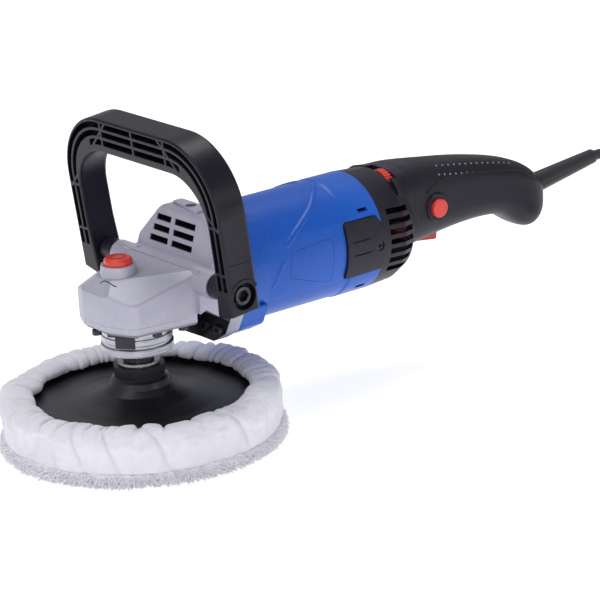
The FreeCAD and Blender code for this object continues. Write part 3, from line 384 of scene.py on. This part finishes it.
def paint_recess_shade(material):
    tree = material.node_tree
    shader = tree.nodes["Principled BSDF"]
    old_colour = shader.inputs["Base Color"].links[0].from_socket
    place = add_node(tree, "ShaderNodeTexCoord")
    split = add_node(tree, "ShaderNodeSeparateXYZ")
    join(tree, place.outputs["Object"], split.inputs["Vector"])

    def compare(kind, value, limit):
        """One sum or test of a socket against a number."""
        test = add_node(tree, "ShaderNodeMath", operation=kind)
        join(tree, value, test.inputs[0])
        test.inputs[1].default_value = limit
        return test.outputs["Value"]

    def combine(kind, first, second):
        """One sum or test of two sockets."""
        both = add_node(tree, "ShaderNodeMath", operation=kind)
        join(tree, first, both.inputs[0])
        join(tree, second, both.inputs[1])
        return both.outputs["Value"]

    x, y, z = split.outputs["X"], split.outputs["Y"], split.outputs["Z"]
    behind_slope = combine("SUBTRACT", x, compare("MULTIPLY", z, SLOPE_LEAN))
    slope_start = SLOPE_FOOT_X - SLOPE_FOOT_Z * SLOPE_LEAN + SLOT_SKIN
    inside = compare("GREATER_THAN", behind_slope, slope_start)
    high = compare("GREATER_THAN", z, SLOTS_LOW)
    low = compare("LESS_THAN", z, SLOTS_HIGH)
    width = combine("ADD", compare("ABSOLUTE", y, 0), compare("MULTIPLY", z, HUMP_TAPER))
    narrow = compare("LESS_THAN", width, HUMP_SIDE + HUMP_SIDE_Z * HUMP_TAPER)
    slots = combine("MULTIPLY", combine("MULTIPLY", inside, high), combine("MULTIPLY", low, narrow))
    bay_front = compare("GREATER_THAN", x, BAY_FRONT)
    bay_back = compare("LESS_THAN", x, BAY_BACK)
    bay_low = compare("LESS_THAN", z, BAY_TOP)
    bay = combine("MULTIPLY", combine("MULTIPLY", bay_front, bay_back), bay_low)
    # Painted shade: the slots and the screw bay are mixed to near black, standing for the shade
    # inside them.
    mask = combine("MAXIMUM", slots, bay)
    painted_shade = add_node(tree, "ShaderNodeMix", data_type="RGBA")
    painted_shade.inputs["B"].default_value = (0.012, 0.012, 0.016, 1)
    join(tree, mask, painted_shade.inputs["Factor"])
    join(tree, old_colour, painted_shade.inputs["A"])
    join(tree, painted_shade.outputs["Result"], shader.inputs["Base Color"])


paint_recess_shade(cast_grey)

# %% Give each CAD part its finish
SLOT_FINISH = {
    "case_grey": cast_grey, "blue_plastic": blue_gloss, "black_plastic": matt_black,
    "soft_black": soft_grip, "red_plastic": button_red, "machined_aluminium": turned_metal,
    "steel": bright_steel, "black_steel": black_steel, "gear_steel": gear_steel,
    "laminations": lamination, "copper": copper_wire, "carbon": carbon_block,
    "brass": brass_sheet, "plate_rubber": plate_rubber, "white_cloth": cloth,
    "cord_rubber": cord_rubber}
OWN_FINISH = {"loop_handle": handle_black, "handle_spacers": handle_black, "trigger": trigger_red,
              "guard_key": vent_black, "spindle": black_steel, "motor_flange_screws": black_steel,
              "brush_cover_screws": black_steel}
for part in frame["record"]["subparts"]:
    wanted = OWN_FINISH.get(part["node"], SLOT_FINISH[part["material_slot"]])
    mesh = nodes[part["node"]].data
    mesh.materials.clear()
    mesh.materials.append(wanted)

# %% [markdown]
# ## Floor
# One large pale sheet. The two helpers that make it serve every new mesh after it.

# %% Lay the floor
def mesh_piece(name, points, faces, material):
    """A new smooth-shaded object from points and faces, with one material."""
    mesh = bpy.data.meshes.new(name)
    mesh.from_pydata([tuple(p) for p in points], [], faces)
    mesh.validate()
    mesh.materials.append(material)
    mesh.polygons.foreach_set("use_smooth", [True] * len(mesh.polygons))
    piece = bpy.data.objects.new(name, mesh)
    scene.collection.objects.link(piece)
    return piece


def grid_faces(rows, columns, around=True):
    """Four-sided faces over rows of points; around joins each row's last point to its first."""
    faces = []
    for row in range(rows - 1):
        for k in range(columns if around else columns - 1):
            here, ahead = row * columns + k, row * columns + (k + 1) % columns
            faces.append((here, ahead, ahead + columns, here + columns))
    return faces


floor_finish = hard_finish("pale floor", (0.70, 0.70, 0.71), (0.69, 0.69, 0.70), (0.70, 0.70, 0.71),
                           0.8, 300, 0.02, 0.0, Emission_Color=(1.0, 1.0, 1.0, 1),
                           Emission_Strength=0.68)
floor = mesh_piece("floor", [(-9, -9, 0), (9, -9, 0), (9, 9, 0), (-9, 9, 0)], [(0, 1, 2, 3)],
                   floor_finish)

# %% [markdown]
# ## The mains cord
# The cord is one length of rubber flex. It leaves the strain relief, sags to the floor, winds
# into a flat storage coil and ends at the plug that lies on the coil. A NURBS curve with the
# route's points as its controls gives one smooth line, and the round bevel gives it thickness.
# The coil's turns are more points of the same spline, worked out by a loop.

# %% The route's points
CORD_OUT = [(0.440, 0.0, 0.115), (0.476, -0.002, 0.116), (0.510, -0.006, 0.104),
            (0.533, -0.014, 0.076), (0.548, -0.026, 0.043), (0.561, -0.044, 0.016),
            (0.571, -0.070, 0.0043)]
CORD_TAIL = [(0.502, -0.0868, 0.0200), (0.5228, -0.0748, 0.0265), (0.5464, -0.079, 0.031),
             (0.5618, -0.0974, 0.0327), (0.5618, -0.1214, 0.0327)]
CORD_RADIUS = 0.004
COIL_CENTRE = (0.520, -0.118)
COIL_PATTERN = [(0.052, 0.036, 0.0043), (0.036, 0.052, 0.0121), (0.052, 0.036, 0.0199)]
POINTS_PER_TURN = 14


def coil_points():
    """Three flat layers, each wound from one radius to another, clockwise from above."""
    steps_per_layer = 3 * POINTS_PER_TURN - 2
    made = []
    turn = 0.0
    for first, last, height in COIL_PATTERN:
        for step in range(steps_per_layer):
            share = step / (steps_per_layer - 1)
            radius = first + (last - first) * share
            made.append((COIL_CENTRE[0] + radius * math.cos(turn),
                         COIL_CENTRE[1] + radius * math.sin(turn), height))
            turn -= math.tau / POINTS_PER_TURN
    return made


# %% Draw the cord
def smooth_cord(name, points, radius, material):
    curve = bpy.data.curves.new(name, "CURVE")
    curve.dimensions = "3D"
    curve.bevel_depth = radius
    curve.bevel_resolution = 5
    curve.use_fill_caps = True
    spline = curve.splines.new("NURBS")
    spline.points.add(len(points) - 1)
    for control, place in zip(spline.points, points):
        control.co = (*place, 1.0)
    spline.order_u = 3
    spline.use_endpoint_u = True
    spline.resolution_u = 6
    curve.materials.append(material)
    piece = bpy.data.objects.new(name, curve)
    scene.collection.objects.link(piece)
    return piece


turns = coil_points()
cord = smooth_cord("mains_cord", CORD_OUT + turns + CORD_TAIL, CORD_RADIUS, cord_rubber)
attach(cord, "housing")
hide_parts("cord", "cord_coil", "cord_tail")
print("coil ends at", [round(v, 4) for v in turns[-1]], "with", len(turns), "points")

# %% [markdown]
# ## The strain relief
# A rubber sleeve that keeps the cord from kinking where it leaves the grip. It is a plain
# taper with a rounded end, and one spinning function makes it from (distance, radius) pairs.

# %% A lathe for new pieces
def lathe(name, start, way, profile, material, segments=48):
    """Spins a profile of (distance along, radius) round the line from start along way."""
    axis = Vector(way).normalized()
    across = axis.orthogonal().normalized()
    other = axis.cross(across)
    points = []
    for along, radius in profile:
        centre = Vector(start) + axis * along
        for k in range(segments):
            turn = math.tau * k / segments
            points.append(centre + (across * math.cos(turn) + other * math.sin(turn)) * radius)
    return mesh_piece(name, points, grid_faces(len(profile), segments), material)


# %% Spin the strain relief
relief_start, relief_end = Vector((0.3725, 0, 0.1054)), Vector((0.440, 0, 0.115))
relief_length = (relief_end - relief_start).length
ROOT_RELIEF, TIP_RELIEF, TIP_ROUND = 0.0082, 0.0057, 0.0006
RELIEF_RINGS = 24
relief_profile = [(0, 0.0)]
for ring in range(RELIEF_RINGS):
    share = ring / (RELIEF_RINGS - 1)
    relief_profile.append((share * (relief_length - TIP_ROUND),
                           ROOT_RELIEF + (TIP_RELIEF - ROOT_RELIEF) * share))
relief_profile += [(relief_length, 0.0052), (relief_length, 0.0039)]
relief = lathe("strain_relief_sleeve", relief_start, relief_end - relief_start, relief_profile,
               cord_rubber)
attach(relief, "housing")
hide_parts("strain_relief")

# %% [markdown]
# ## The bonnet
# The bonnet is a round of white cloth with a wool pile under it, pulled over the plate by a
# gathered hem. The cloth band is one sheet: a profile from the seam, up over the shoulder and in
# to the hem, spun round the spindle. Gathers are cut in as it is spun, deep at the hem and fading
# towards the seam, where the cloth is stretched over the pad.

# %% The band's profile
BAND_PROFILE = [(0.0965, 0.0100), (0.0982, 0.0112), (0.0990, 0.0145), (0.0992, 0.0195),
                (0.0998, 0.0250), (0.1005, 0.0300), (0.1003, 0.0345), (0.0985, 0.0385),
                (0.0950, 0.0410), (0.0905, 0.0418), (0.0860, 0.0415), (0.0815, 0.0405),
                (0.0780, 0.0388), (0.0762, 0.0362), (0.0766, 0.0335), (0.0785, 0.0322)]


def along_profile(profile, share):
    """A point on a smooth curve through the profile (Catmull-Rom), share from 0 to 1."""
    span = share * (len(profile) - 1)
    k = min(int(span), len(profile) - 2)
    t = span - k
    corners = [profile[max(k - 1, 0)], profile[k], profile[k + 1],
               profile[min(k + 2, len(profile) - 1)]]
    place = []
    for a, b, c, d in zip(*corners):
        place.append(0.5 * (2 * b + (c - a) * t + (2 * a - 5 * b + 4 * c - d) * t * t
                            + (3 * b - a - 3 * c + d) * t ** 3))
    return place


# %% Folds in the cloth
def crease(turn, count, phase, sharpness):
    """A row of narrow valleys round the band: 0 on the flats and 1 in a valley."""
    return (1 - abs(math.sin(0.5 * count * turn + phase))) ** sharpness


def cloth_folds(turn, share):
    """How far the cloth moves out, up and into a gather at one place on the band, in metres."""
    hem = min(1.0, max(0.0, (share - 0.30) / 0.55))
    wander = 0.8 * noise.noise(Vector((2.2 * math.cos(turn), 2.2 * math.sin(turn), 0.7)))
    lean = turn + wander + 0.10 * (1 - share)
    strength = 0.45 + 0.9 * abs(noise.noise(Vector((3 * math.cos(turn), 3 * math.sin(turn), 4.1))))
    valleys = crease(lean, 27, 0.3, 3) * 0.0042 + crease(lean * 1.07, 17, 1.1, 6) * 0.0052
    inward = valleys * strength * hem ** 1.2
    soft = 0.0012 * math.sin(5 * turn + 3 * share) + 0.0009 * math.sin(9 * turn - 4 * share + 1)
    place = Vector((7 * math.cos(turn), 7 * math.sin(turn), 6 * share))
    crumple = 0.0011 * noise.noise(place) + 0.0005 * noise.noise(place * 3)
    side = math.sin(math.pi * min(1.0, share * 1.3))
    long_fold = crease(turn + 0.35 * share + 0.5 * wander, 15, 0.9, 6) * 0.0030 * side
    out = soft * side + crumple * (0.35 + side) - long_fold
    lift = 0.0012 * math.sin(11 * turn + 2 * wander) * hem - inward * 0.55
    return out, lift, inward


# %% Spin the cloth band
BAND_TURNS, BAND_ROWS = 900, 64
BAND_TOP, PLATE_TOP, HEM_SHARE = 0.0445, 0.0312, 0.85
band_points = []
for row in range(BAND_ROWS):
    share = row / (BAND_ROWS - 1)
    radius, height = along_profile(BAND_PROFILE, share)
    ahead = along_profile(BAND_PROFILE, min(1.0, share + 0.01))
    behind = along_profile(BAND_PROFILE, max(0.0, share - 0.01))
    run = Vector((ahead[0] - behind[0], ahead[1] - behind[1])).normalized()
    for k in range(BAND_TURNS):
        turn = math.tau * k / BAND_TURNS
        out, lift, inward = cloth_folds(turn, share)
        scallop = 0.0045 * noise.noise(Vector((4 * math.cos(turn), 4 * math.sin(turn), 9)))
        reach = radius + (out - inward) * run.y + scallop * max(0.0, share - 0.5) * 2
        level = height - (out - inward) * run.x + lift * 0.6
        level = min(level, BAND_TOP)
        if share > HEM_SHARE:
            level = max(level, PLATE_TOP)
        band_points.append((reach * math.cos(turn), reach * math.sin(turn), level))

# %% Make the band
band = mesh_piece("bonnet_band", band_points, grid_faces(BAND_ROWS, BAND_TURNS), cloth)
thick = band.modifiers.new("thickness", "SOLIDIFY")
thick.thickness = 0.0009
thick.offset = -1
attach(band, "spindle_assembly")
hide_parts("bonnet")
print("band", len(band_points), "points")

# %% [markdown]
# ## The wool pile
# Under the seam the bonnet is short, dense wool. A lumpy disc closes the bottom, and thousands
# of small curved locks stand out of its rim. They are real tapered meshes, all in one piece.

# %% The pile's disc
PILE_PROFILE = [(0.0950, 0.0112), (0.0972, 0.0106), (0.0986, 0.0088), (0.0988, 0.0062),
                (0.0978, 0.0036), (0.0958, 0.0018), (0.0925, 0.0010), (0.0700, 0.0008),
                (0.0350, 0.0008), (0.0010, 0.0008)]
pile_points = []
PILE_TURNS = 360
LOWEST_WOOL = 0.0002
for radius, height in PILE_PROFILE:
    for k in range(PILE_TURNS):
        turn = math.tau * k / PILE_TURNS
        lump = noise.noise(Vector((math.cos(turn), math.sin(turn), 0)) * radius * 900)
        reach = radius + 0.0006 * lump
        pile_points.append((reach * math.cos(turn), reach * math.sin(turn),
                            max(LOWEST_WOOL, height + 0.0006 * lump)))
pile_faces = grid_faces(len(PILE_PROFILE), PILE_TURNS)


# %% The wool's locks
def wool_lock(points, faces, base, way, droop, length, width):
    """One tapered lock with four sides and three bends, added to the lists."""
    first = len(points)
    side = way.cross(Vector((0, 0, 1))).normalized()
    over = side.cross(way).normalized()
    for ring in range(4):
        share = ring / 4
        centre = base + way * (length * share) + Vector((0, 0, -droop * share * share))
        half = width * (1 - 0.75 * share)
        for x, y in ((1, 0), (0, 1), (-1, 0), (0, -1)):
            corner = centre + side * (x * half) + over * (y * half)
            corner.z = max(corner.z, LOWEST_WOOL)
            points.append(corner)
    tip = base + way * length + Vector((0, 0, -droop))
    tip.z = max(tip.z, LOWEST_WOOL)
    points.append(tip)
    for ring in range(3):
        for k in range(4):
            ahead = (k + 1) % 4
            faces.append((first + ring * 4 + k, first + ring * 4 + ahead,
                          first + ring * 4 + 4 + ahead, first + ring * 4 + 4 + k))
    for k in range(4):
        faces.append((first + 12 + k, first + 12 + (k + 1) % 4, first + 16))


chance = random.Random(11)
LOCKS = 7600
PILE_LOW, PILE_HEIGHT, SEAM_LEVEL = 0.0012, 0.0088, 0.0112
ROOT_RADIUS, ROOT_BULGE = 0.0955, 0.0022
for k in range(LOCKS):
    turn = math.tau * (k + chance.random()) / LOCKS
    level = PILE_LOW + PILE_HEIGHT * chance.random()
    outward = Vector((math.cos(turn), math.sin(turn), 0))
    around = Vector((-math.sin(turn), math.cos(turn), 0))
    swing = chance.uniform(-0.7, 0.7) + 0.5 * noise.noise(outward * 6)
    way = (outward + around * swing + Vector((0, 0, chance.uniform(-0.15, 0.35)))).normalized()
    root = ROOT_RADIUS + ROOT_BULGE * math.sin(level / SEAM_LEVEL * math.pi)
    base = outward * root + Vector((0, 0, level))
    length = chance.uniform(0.0038, 0.0068)
    droop = min(chance.uniform(0.0, 0.0030), level - 0.0006)
    wool_lock(pile_points, pile_faces, base, way, droop, length, chance.uniform(0.0004, 0.0009))


# %% Make the pile
pile = mesh_piece("wool_pile", pile_points, pile_faces, wool)
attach(pile, "spindle_assembly")
print("pile", len(pile_points), "points")

# %% [markdown]
# ## Marks on the blue housing
# The housing's side carries a raised step round the handle's leg, a long curved rib and a blank
# badge panel. They are thin mouldings on a round body, so each is made as a strip or patch whose
# points are laid on the body's surface by distance along the motor and angle round it. The groove
# round the badge panel is not cut: a thin dark blue strip paints the shade inside it.

# %% Places on the housing
MOTOR_AXIS = 0.111
BARREL_RADIUS = 0.0437
HOUSING_RADII = [(0.062, 0.0473), (0.078, 0.0452), (0.088, BARREL_RADIUS),
                 (0.161, BARREL_RADIUS), (0.163, 0.0445), (0.191, 0.0445)]


def housing_radius(x):
    """The housing's radius at a distance along the motor."""
    for (first, low), (last, high) in zip(HOUSING_RADII, HOUSING_RADII[1:]):
        if x <= last:
            return low + (high - low) * max(0.0, (x - first) / (last - first))
    return HOUSING_RADII[-1][1]


def on_housing(x, angle, out, side):
    """A point on the housing: angle in degrees up from the side, side -1 near or +1 far."""
    reach = housing_radius(x) + out
    turn = math.radians(angle)
    return Vector((x, side * reach * math.cos(turn), MOTOR_AXIS + reach * math.sin(turn)))


# %% Strips along a path
def smooth_path(corners, count, closed=False):
    """Evenly spread (x, angle) points on a smooth curve through the corners."""
    ring = corners + corners[:1] if closed else corners
    return [along_profile(ring, k / (count - 1)) for k in range(count)]


def housing_strip(name, path, width, height, side, material):
    """A low rounded moulding along a path of (x, angle) on the housing."""
    metres_per_degree = math.radians(1) * BARREL_RADIUS
    points = []
    across_count = 9
    for k, (x, angle) in enumerate(path):
        before, after = path[max(k - 1, 0)], path[min(k + 1, len(path) - 1)]
        way = Vector((after[0] - before[0], (after[1] - before[1]) * metres_per_degree))
        way = way.normalized() if way.length > 0 else Vector((1, 0))
        ends = min(1.0, k / 4, (len(path) - 1 - k) / 4)
        for j in range(across_count):
            share = 2 * j / (across_count - 1) - 1
            offset = share * width / 2
            lift = height * math.cos(share * math.pi / 2) ** 0.8 * ends - 0.0002
            points.append(on_housing(x - way.y * offset, angle + way.x * offset / metres_per_degree,
                                     lift, side))
    piece = mesh_piece(name, points, grid_faces(len(path), across_count, False), material)
    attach(piece, "housing")


# %% The raised step round the handle's leg
STEP_EDGE = [(58, 0.0905), (50, 0.0955), (46, 0.0975), (38, 0.0965), (30, 0.0915), (22, 0.0850),
             (12, 0.0815), (4, 0.0805), (-10, 0.0797), (-28, 0.0798)]
STEP_START, STEP_HEIGHT, STEP_RAMP, STEP_LIP = 0.0632, 0.0010, 0.0016, 0.0008


def step_patch(side):
    rows, columns = 60, 40
    points = []
    for row in range(rows):
        angle, edge = along_profile(STEP_EDGE, row / (rows - 1))
        close = min(1.0, row / 5, (rows - 1 - row) / 5)
        for column in range(columns):
            share = column / (columns - 1)
            x = STEP_START + (edge - STEP_START) * share
            fall = min(1.0, (edge - x) / STEP_RAMP, (x - STEP_START) / STEP_LIP + 0.1)
            lift = STEP_HEIGHT * math.sin(fall * math.pi / 2) * math.sin(close * math.pi / 2)
            points.append(on_housing(x, angle, lift - 0.0001, side))
    piece = mesh_piece("housing_step_" + ("near" if side < 0 else "far"), points,
                       grid_faces(rows, columns, False), blue_gloss)
    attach(piece, "housing")


# %% Ribs and badge panel on both sides
RIB = [(0.156, 79), (0.151, 70), (0.138, 51.4), (0.1237, 38), (0.1125, 28), (0.104, 20)]
LOWER_RIB = [(0.1005, 8), (0.0975, 2), (0.0935, -7), (0.0890, -17)]
PANEL = [(0.1095, 14.0), (0.1250, 15.4), (0.1410, 17.0), (0.1445, 14.5), (0.1450, 5.0),
         (0.1445, -12.0), (0.1430, -24.0), (0.1385, -26.0), (0.1230, -18.5), (0.1070, -11.0),
         (0.1050, -8.0), (0.1065, 2.0), (0.1078, 11.0)]
for side, word in ((-1, "near"), (1, "far")):
    step_patch(side)
    housing_strip("housing_rib_" + word, smooth_path(RIB, 70), 0.0052, 0.0013, side, blue_gloss)
    housing_strip("housing_lower_rib_" + word, smooth_path(LOWER_RIB, 36), 0.0045, 0.0008, side,
                  blue_gloss)
    # The badge outline: a thin dark strip of painted shade round the panel.
    housing_strip("badge_groove_shade_" + word, smooth_path(PANEL, 160, True), 0.0007, 0.0003, side,
                  groove_shade_blue)
print("housing marks on both sides")

# %% [markdown]
# ## Small marks
# The rows of dots and the cover's edge on the soft grip, the moulded ring on the lock button,
# the half-round ridge over each handle bolt, the seams across the handle's legs and the thin
# direction line on the gear head. They sit on surfaces with no simple formula, so a ray finds
# each place on the CAD mesh.

# %% Find places on a CAD part
def surface_of(*names):
    """One search tree over the meshes of several CAD parts."""
    points, faces = [], []
    for name in names:
        mesh = nodes[name].data
        first = len(points)
        points += [v.co.copy() for v in mesh.vertices]
        faces += [[first + k for k in p.vertices] for p in mesh.polygons]
    return BVHTree.FromPolygons(points, faces)


# %% Dots on the grip
def dome(points, faces, centre, out, radius):
    """A small raised dot, added to the lists."""
    across = out.orthogonal().normalized()
    other = out.cross(across)
    first = len(points)
    for ring in range(3):
        lean = ring / 3 * math.pi / 2
        for k in range(10):
            turn = math.tau * k / 10
            reach = radius * math.cos(lean)
            points.append(centre + (across * math.cos(turn) + other * math.sin(turn)) * reach
                          + out * radius * 0.5 * math.sin(lean))
    points.append(centre + out * radius * 0.5)
    for ring in range(2):
        for k in range(10):
            ahead = (k + 1) % 10
            faces.append((first + ring * 10 + k, first + ring * 10 + ahead,
                          first + ring * 10 + 10 + ahead, first + ring * 10 + 10 + k))
    for k in range(10):
        faces.append((first + 20 + k, first + 20 + (k + 1) % 10, first + 30))


grip_surface = surface_of("grip_overmould", "grip_half_near", "grip_half_far")
dot_points, dot_faces = [], []
FIRST_DOT, DOT_PITCH, DOTS_PER_ROW, DOT_RADIUS = 0.264, 0.0057, 14, 0.0008
GRIP_MIDDLE, GRIP_FALL, OUTSIDE = 0.122, 0.09, 0.08
LOW_ROW, HIGH_ROW = 42, 58
for side in (-1, 1):
    for row_angle in (LOW_ROW, HIGH_ROW):
        for k in range(DOTS_PER_ROW):
            x = FIRST_DOT + DOT_PITCH * k + (0.0028 if row_angle == HIGH_ROW else 0)
            lean = math.radians(row_angle - 0.4 * k)
            way = Vector((0, side * math.cos(lean), math.sin(lean)))
            centre = Vector((x, 0, GRIP_MIDDLE - GRIP_FALL * (x - FIRST_DOT)))
            place, normal = grip_surface.ray_cast(centre + way * OUTSIDE, -way)[:2]
            if place is not None:
                dome(dot_points, dot_faces, place - way * 0.0001, normal, DOT_RADIUS)
dots = mesh_piece("grip_dots", dot_points, dot_faces, grip_dot)
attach(dots, "housing")
print("dots", len(dot_points) // 31)

# %% Thin rods and arcs
def rod_along(name, path, radius, material, body):
    """A thin round rod through points, closed if its ends meet, riding on a body."""
    points, faces = [], []
    sides = 10
    closed = (path[0] - path[-1]).length < 1e-6
    run = path[:-1] if closed else path
    for k, place in enumerate(run):
        before = run[k - 1] if closed or k > 0 else place
        after = run[(k + 1) % len(run)] if closed or k < len(run) - 1 else place
        way = (after - before).normalized()
        side = way.cross(Vector((0.13, 0.07, 1))).normalized()
        over = side.cross(way)
        for j in range(sides):
            turn = math.tau * j / sides
            points.append(place + (side * math.cos(turn) + over * math.sin(turn)) * radius)
    for k in range(len(run) if closed else len(run) - 1):
        ahead = (k + 1) % len(run)
        for j in range(sides):
            faces.append((k * sides + j, k * sides + (j + 1) % sides,
                          ahead * sides + (j + 1) % sides, ahead * sides + j))
    piece = mesh_piece(name, points, faces, material)
    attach(piece, body)
    return piece


def arc(centre, radius, first, last, across, other, count=40):
    """Points round part of a circle, from one angle to another in degrees."""
    made = []
    for k in range(count + 1):
        turn = math.radians(first + (last - first) * k / count)
        made.append(centre + (across * math.cos(turn) + other * math.sin(turn)) * radius)
    return made


EAST, UP, NORTH = Vector((1, 0, 0)), Vector((0, 0, 1)), Vector((0, 1, 0))

# %% The soft cover's edge on the grip
COVER_EDGE = [(0.2475, 0.1328), (0.2580, 0.1358), (0.2660, 0.1378), (0.2830, 0.1368),
              (0.3000, 0.1353), (0.3200, 0.1320), (0.3400, 0.1283), (0.3540, 0.1220),
              (0.3640, 0.1150)]
for side, word in ((-1, "near"), (1, "far")):
    edge_line = []
    for x, z in smooth_path(COVER_EDGE, 46):
        place = grip_surface.ray_cast(Vector((x, side * 0.08, z)), Vector((0, -side, 0)))[0]
        if place is not None:
            edge_line.append(place)
    rod_along("grip_cover_edge_" + word, edge_line, 0.0009, soft_grip, "housing")

# %% The button's ring and the ridges over the bolts
button_low, button_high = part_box("spindle_lock_button")
button_middle = (button_low + button_high) / 2
ring = arc(Vector((button_middle.x, 0, button_high.z)), 0.0052, 0, 360, EAST, NORTH)
ring[-1] = ring[0]
rod_along("lock_button_ring", ring, 0.00035, dark_red, "lock_button")
BOLT_X, BOLT_Z, LEG_FACE = 0.030, 0.119, 0.0906
for side, word in ((-1, "near"), (1, "far")):
    centre = Vector((BOLT_X, side * LEG_FACE, BOLT_Z))
    rod_along("bolt_ridge_" + word, arc(centre, 0.0118, 35, 150, EAST * -1, UP), 0.0008,
              handle_black, "housing")

# %% The seams across the handle's legs
leg_surface = surface_of("loop_handle")
LEG_LEAN, SEAM_WIDTH, SEAM_STEPS = 0.11, 0.0170, 12
for side, word in ((-1, "near"), (1, "far")):
    for level, title in ((0.185, "upper"), (0.143, "lower")):
        seam = []
        middle = BOLT_X - LEG_LEAN * (level - BOLT_Z)
        for k in range(SEAM_STEPS + 1):
            x = middle + SEAM_WIDTH * (k / SEAM_STEPS - 0.5)
            place = leg_surface.ray_cast(Vector((x, side * 0.12, level)), Vector((0, -side, 0)))[0]
            if place is not None:
                seam.append(place)
        rod_along("leg_seam_" + title + "_" + word, seam, 0.00028, handle_black, "housing")

# %% The direction line on the gear head
gear_top = surface_of("gear_head")
DIRECTION_LINE = [(-0.0273, 0.0), (-0.0252, -0.0029), (-0.0252, -0.0107), (-0.0235, -0.0148)]
line = []
for x, y in smooth_path(DIRECTION_LINE, 14):
    line.append(gear_top.ray_cast(Vector((x, y, 0.2)), -UP)[0])
rod_along("direction_line", line, 0.0004, vent_black, "housing")
print("button top", round(button_high.z, 4))

# %% [markdown]
# ## The lock button's spring
# The spring stays on its seat and closes up as the button goes down, so it is wound here as a
# piece of its own.

# %% Wind the spring
spring_low, spring_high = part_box("lock_spring")
WIRE_RADIUS, COILS, HELIX_STEPS, BUTTON_TRAVEL = 0.0003, 4.1, 140, 0.003
spring_height = spring_high.z - spring_low.z
spring_centre = (spring_low + spring_high) / 2
spring_radius = (spring_high.x - spring_low.x) / 2 - WIRE_RADIUS
helix = []
for k in range(HELIX_STEPS + 1):
    turn = math.tau * COILS * k / HELIX_STEPS
    level = spring_low.z + WIRE_RADIUS + (spring_height - 2 * WIRE_RADIUS) * k / HELIX_STEPS
    helix.append(Vector((spring_centre.x + spring_radius * math.cos(turn),
                         spring_centre.y + spring_radius * math.sin(turn), level)))
spring = rod_along("lock_spring_wire", helix, WIRE_RADIUS, bright_steel, "housing")
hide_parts("lock_spring")
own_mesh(spring)
print("spring", round(spring_height, 4), "high")
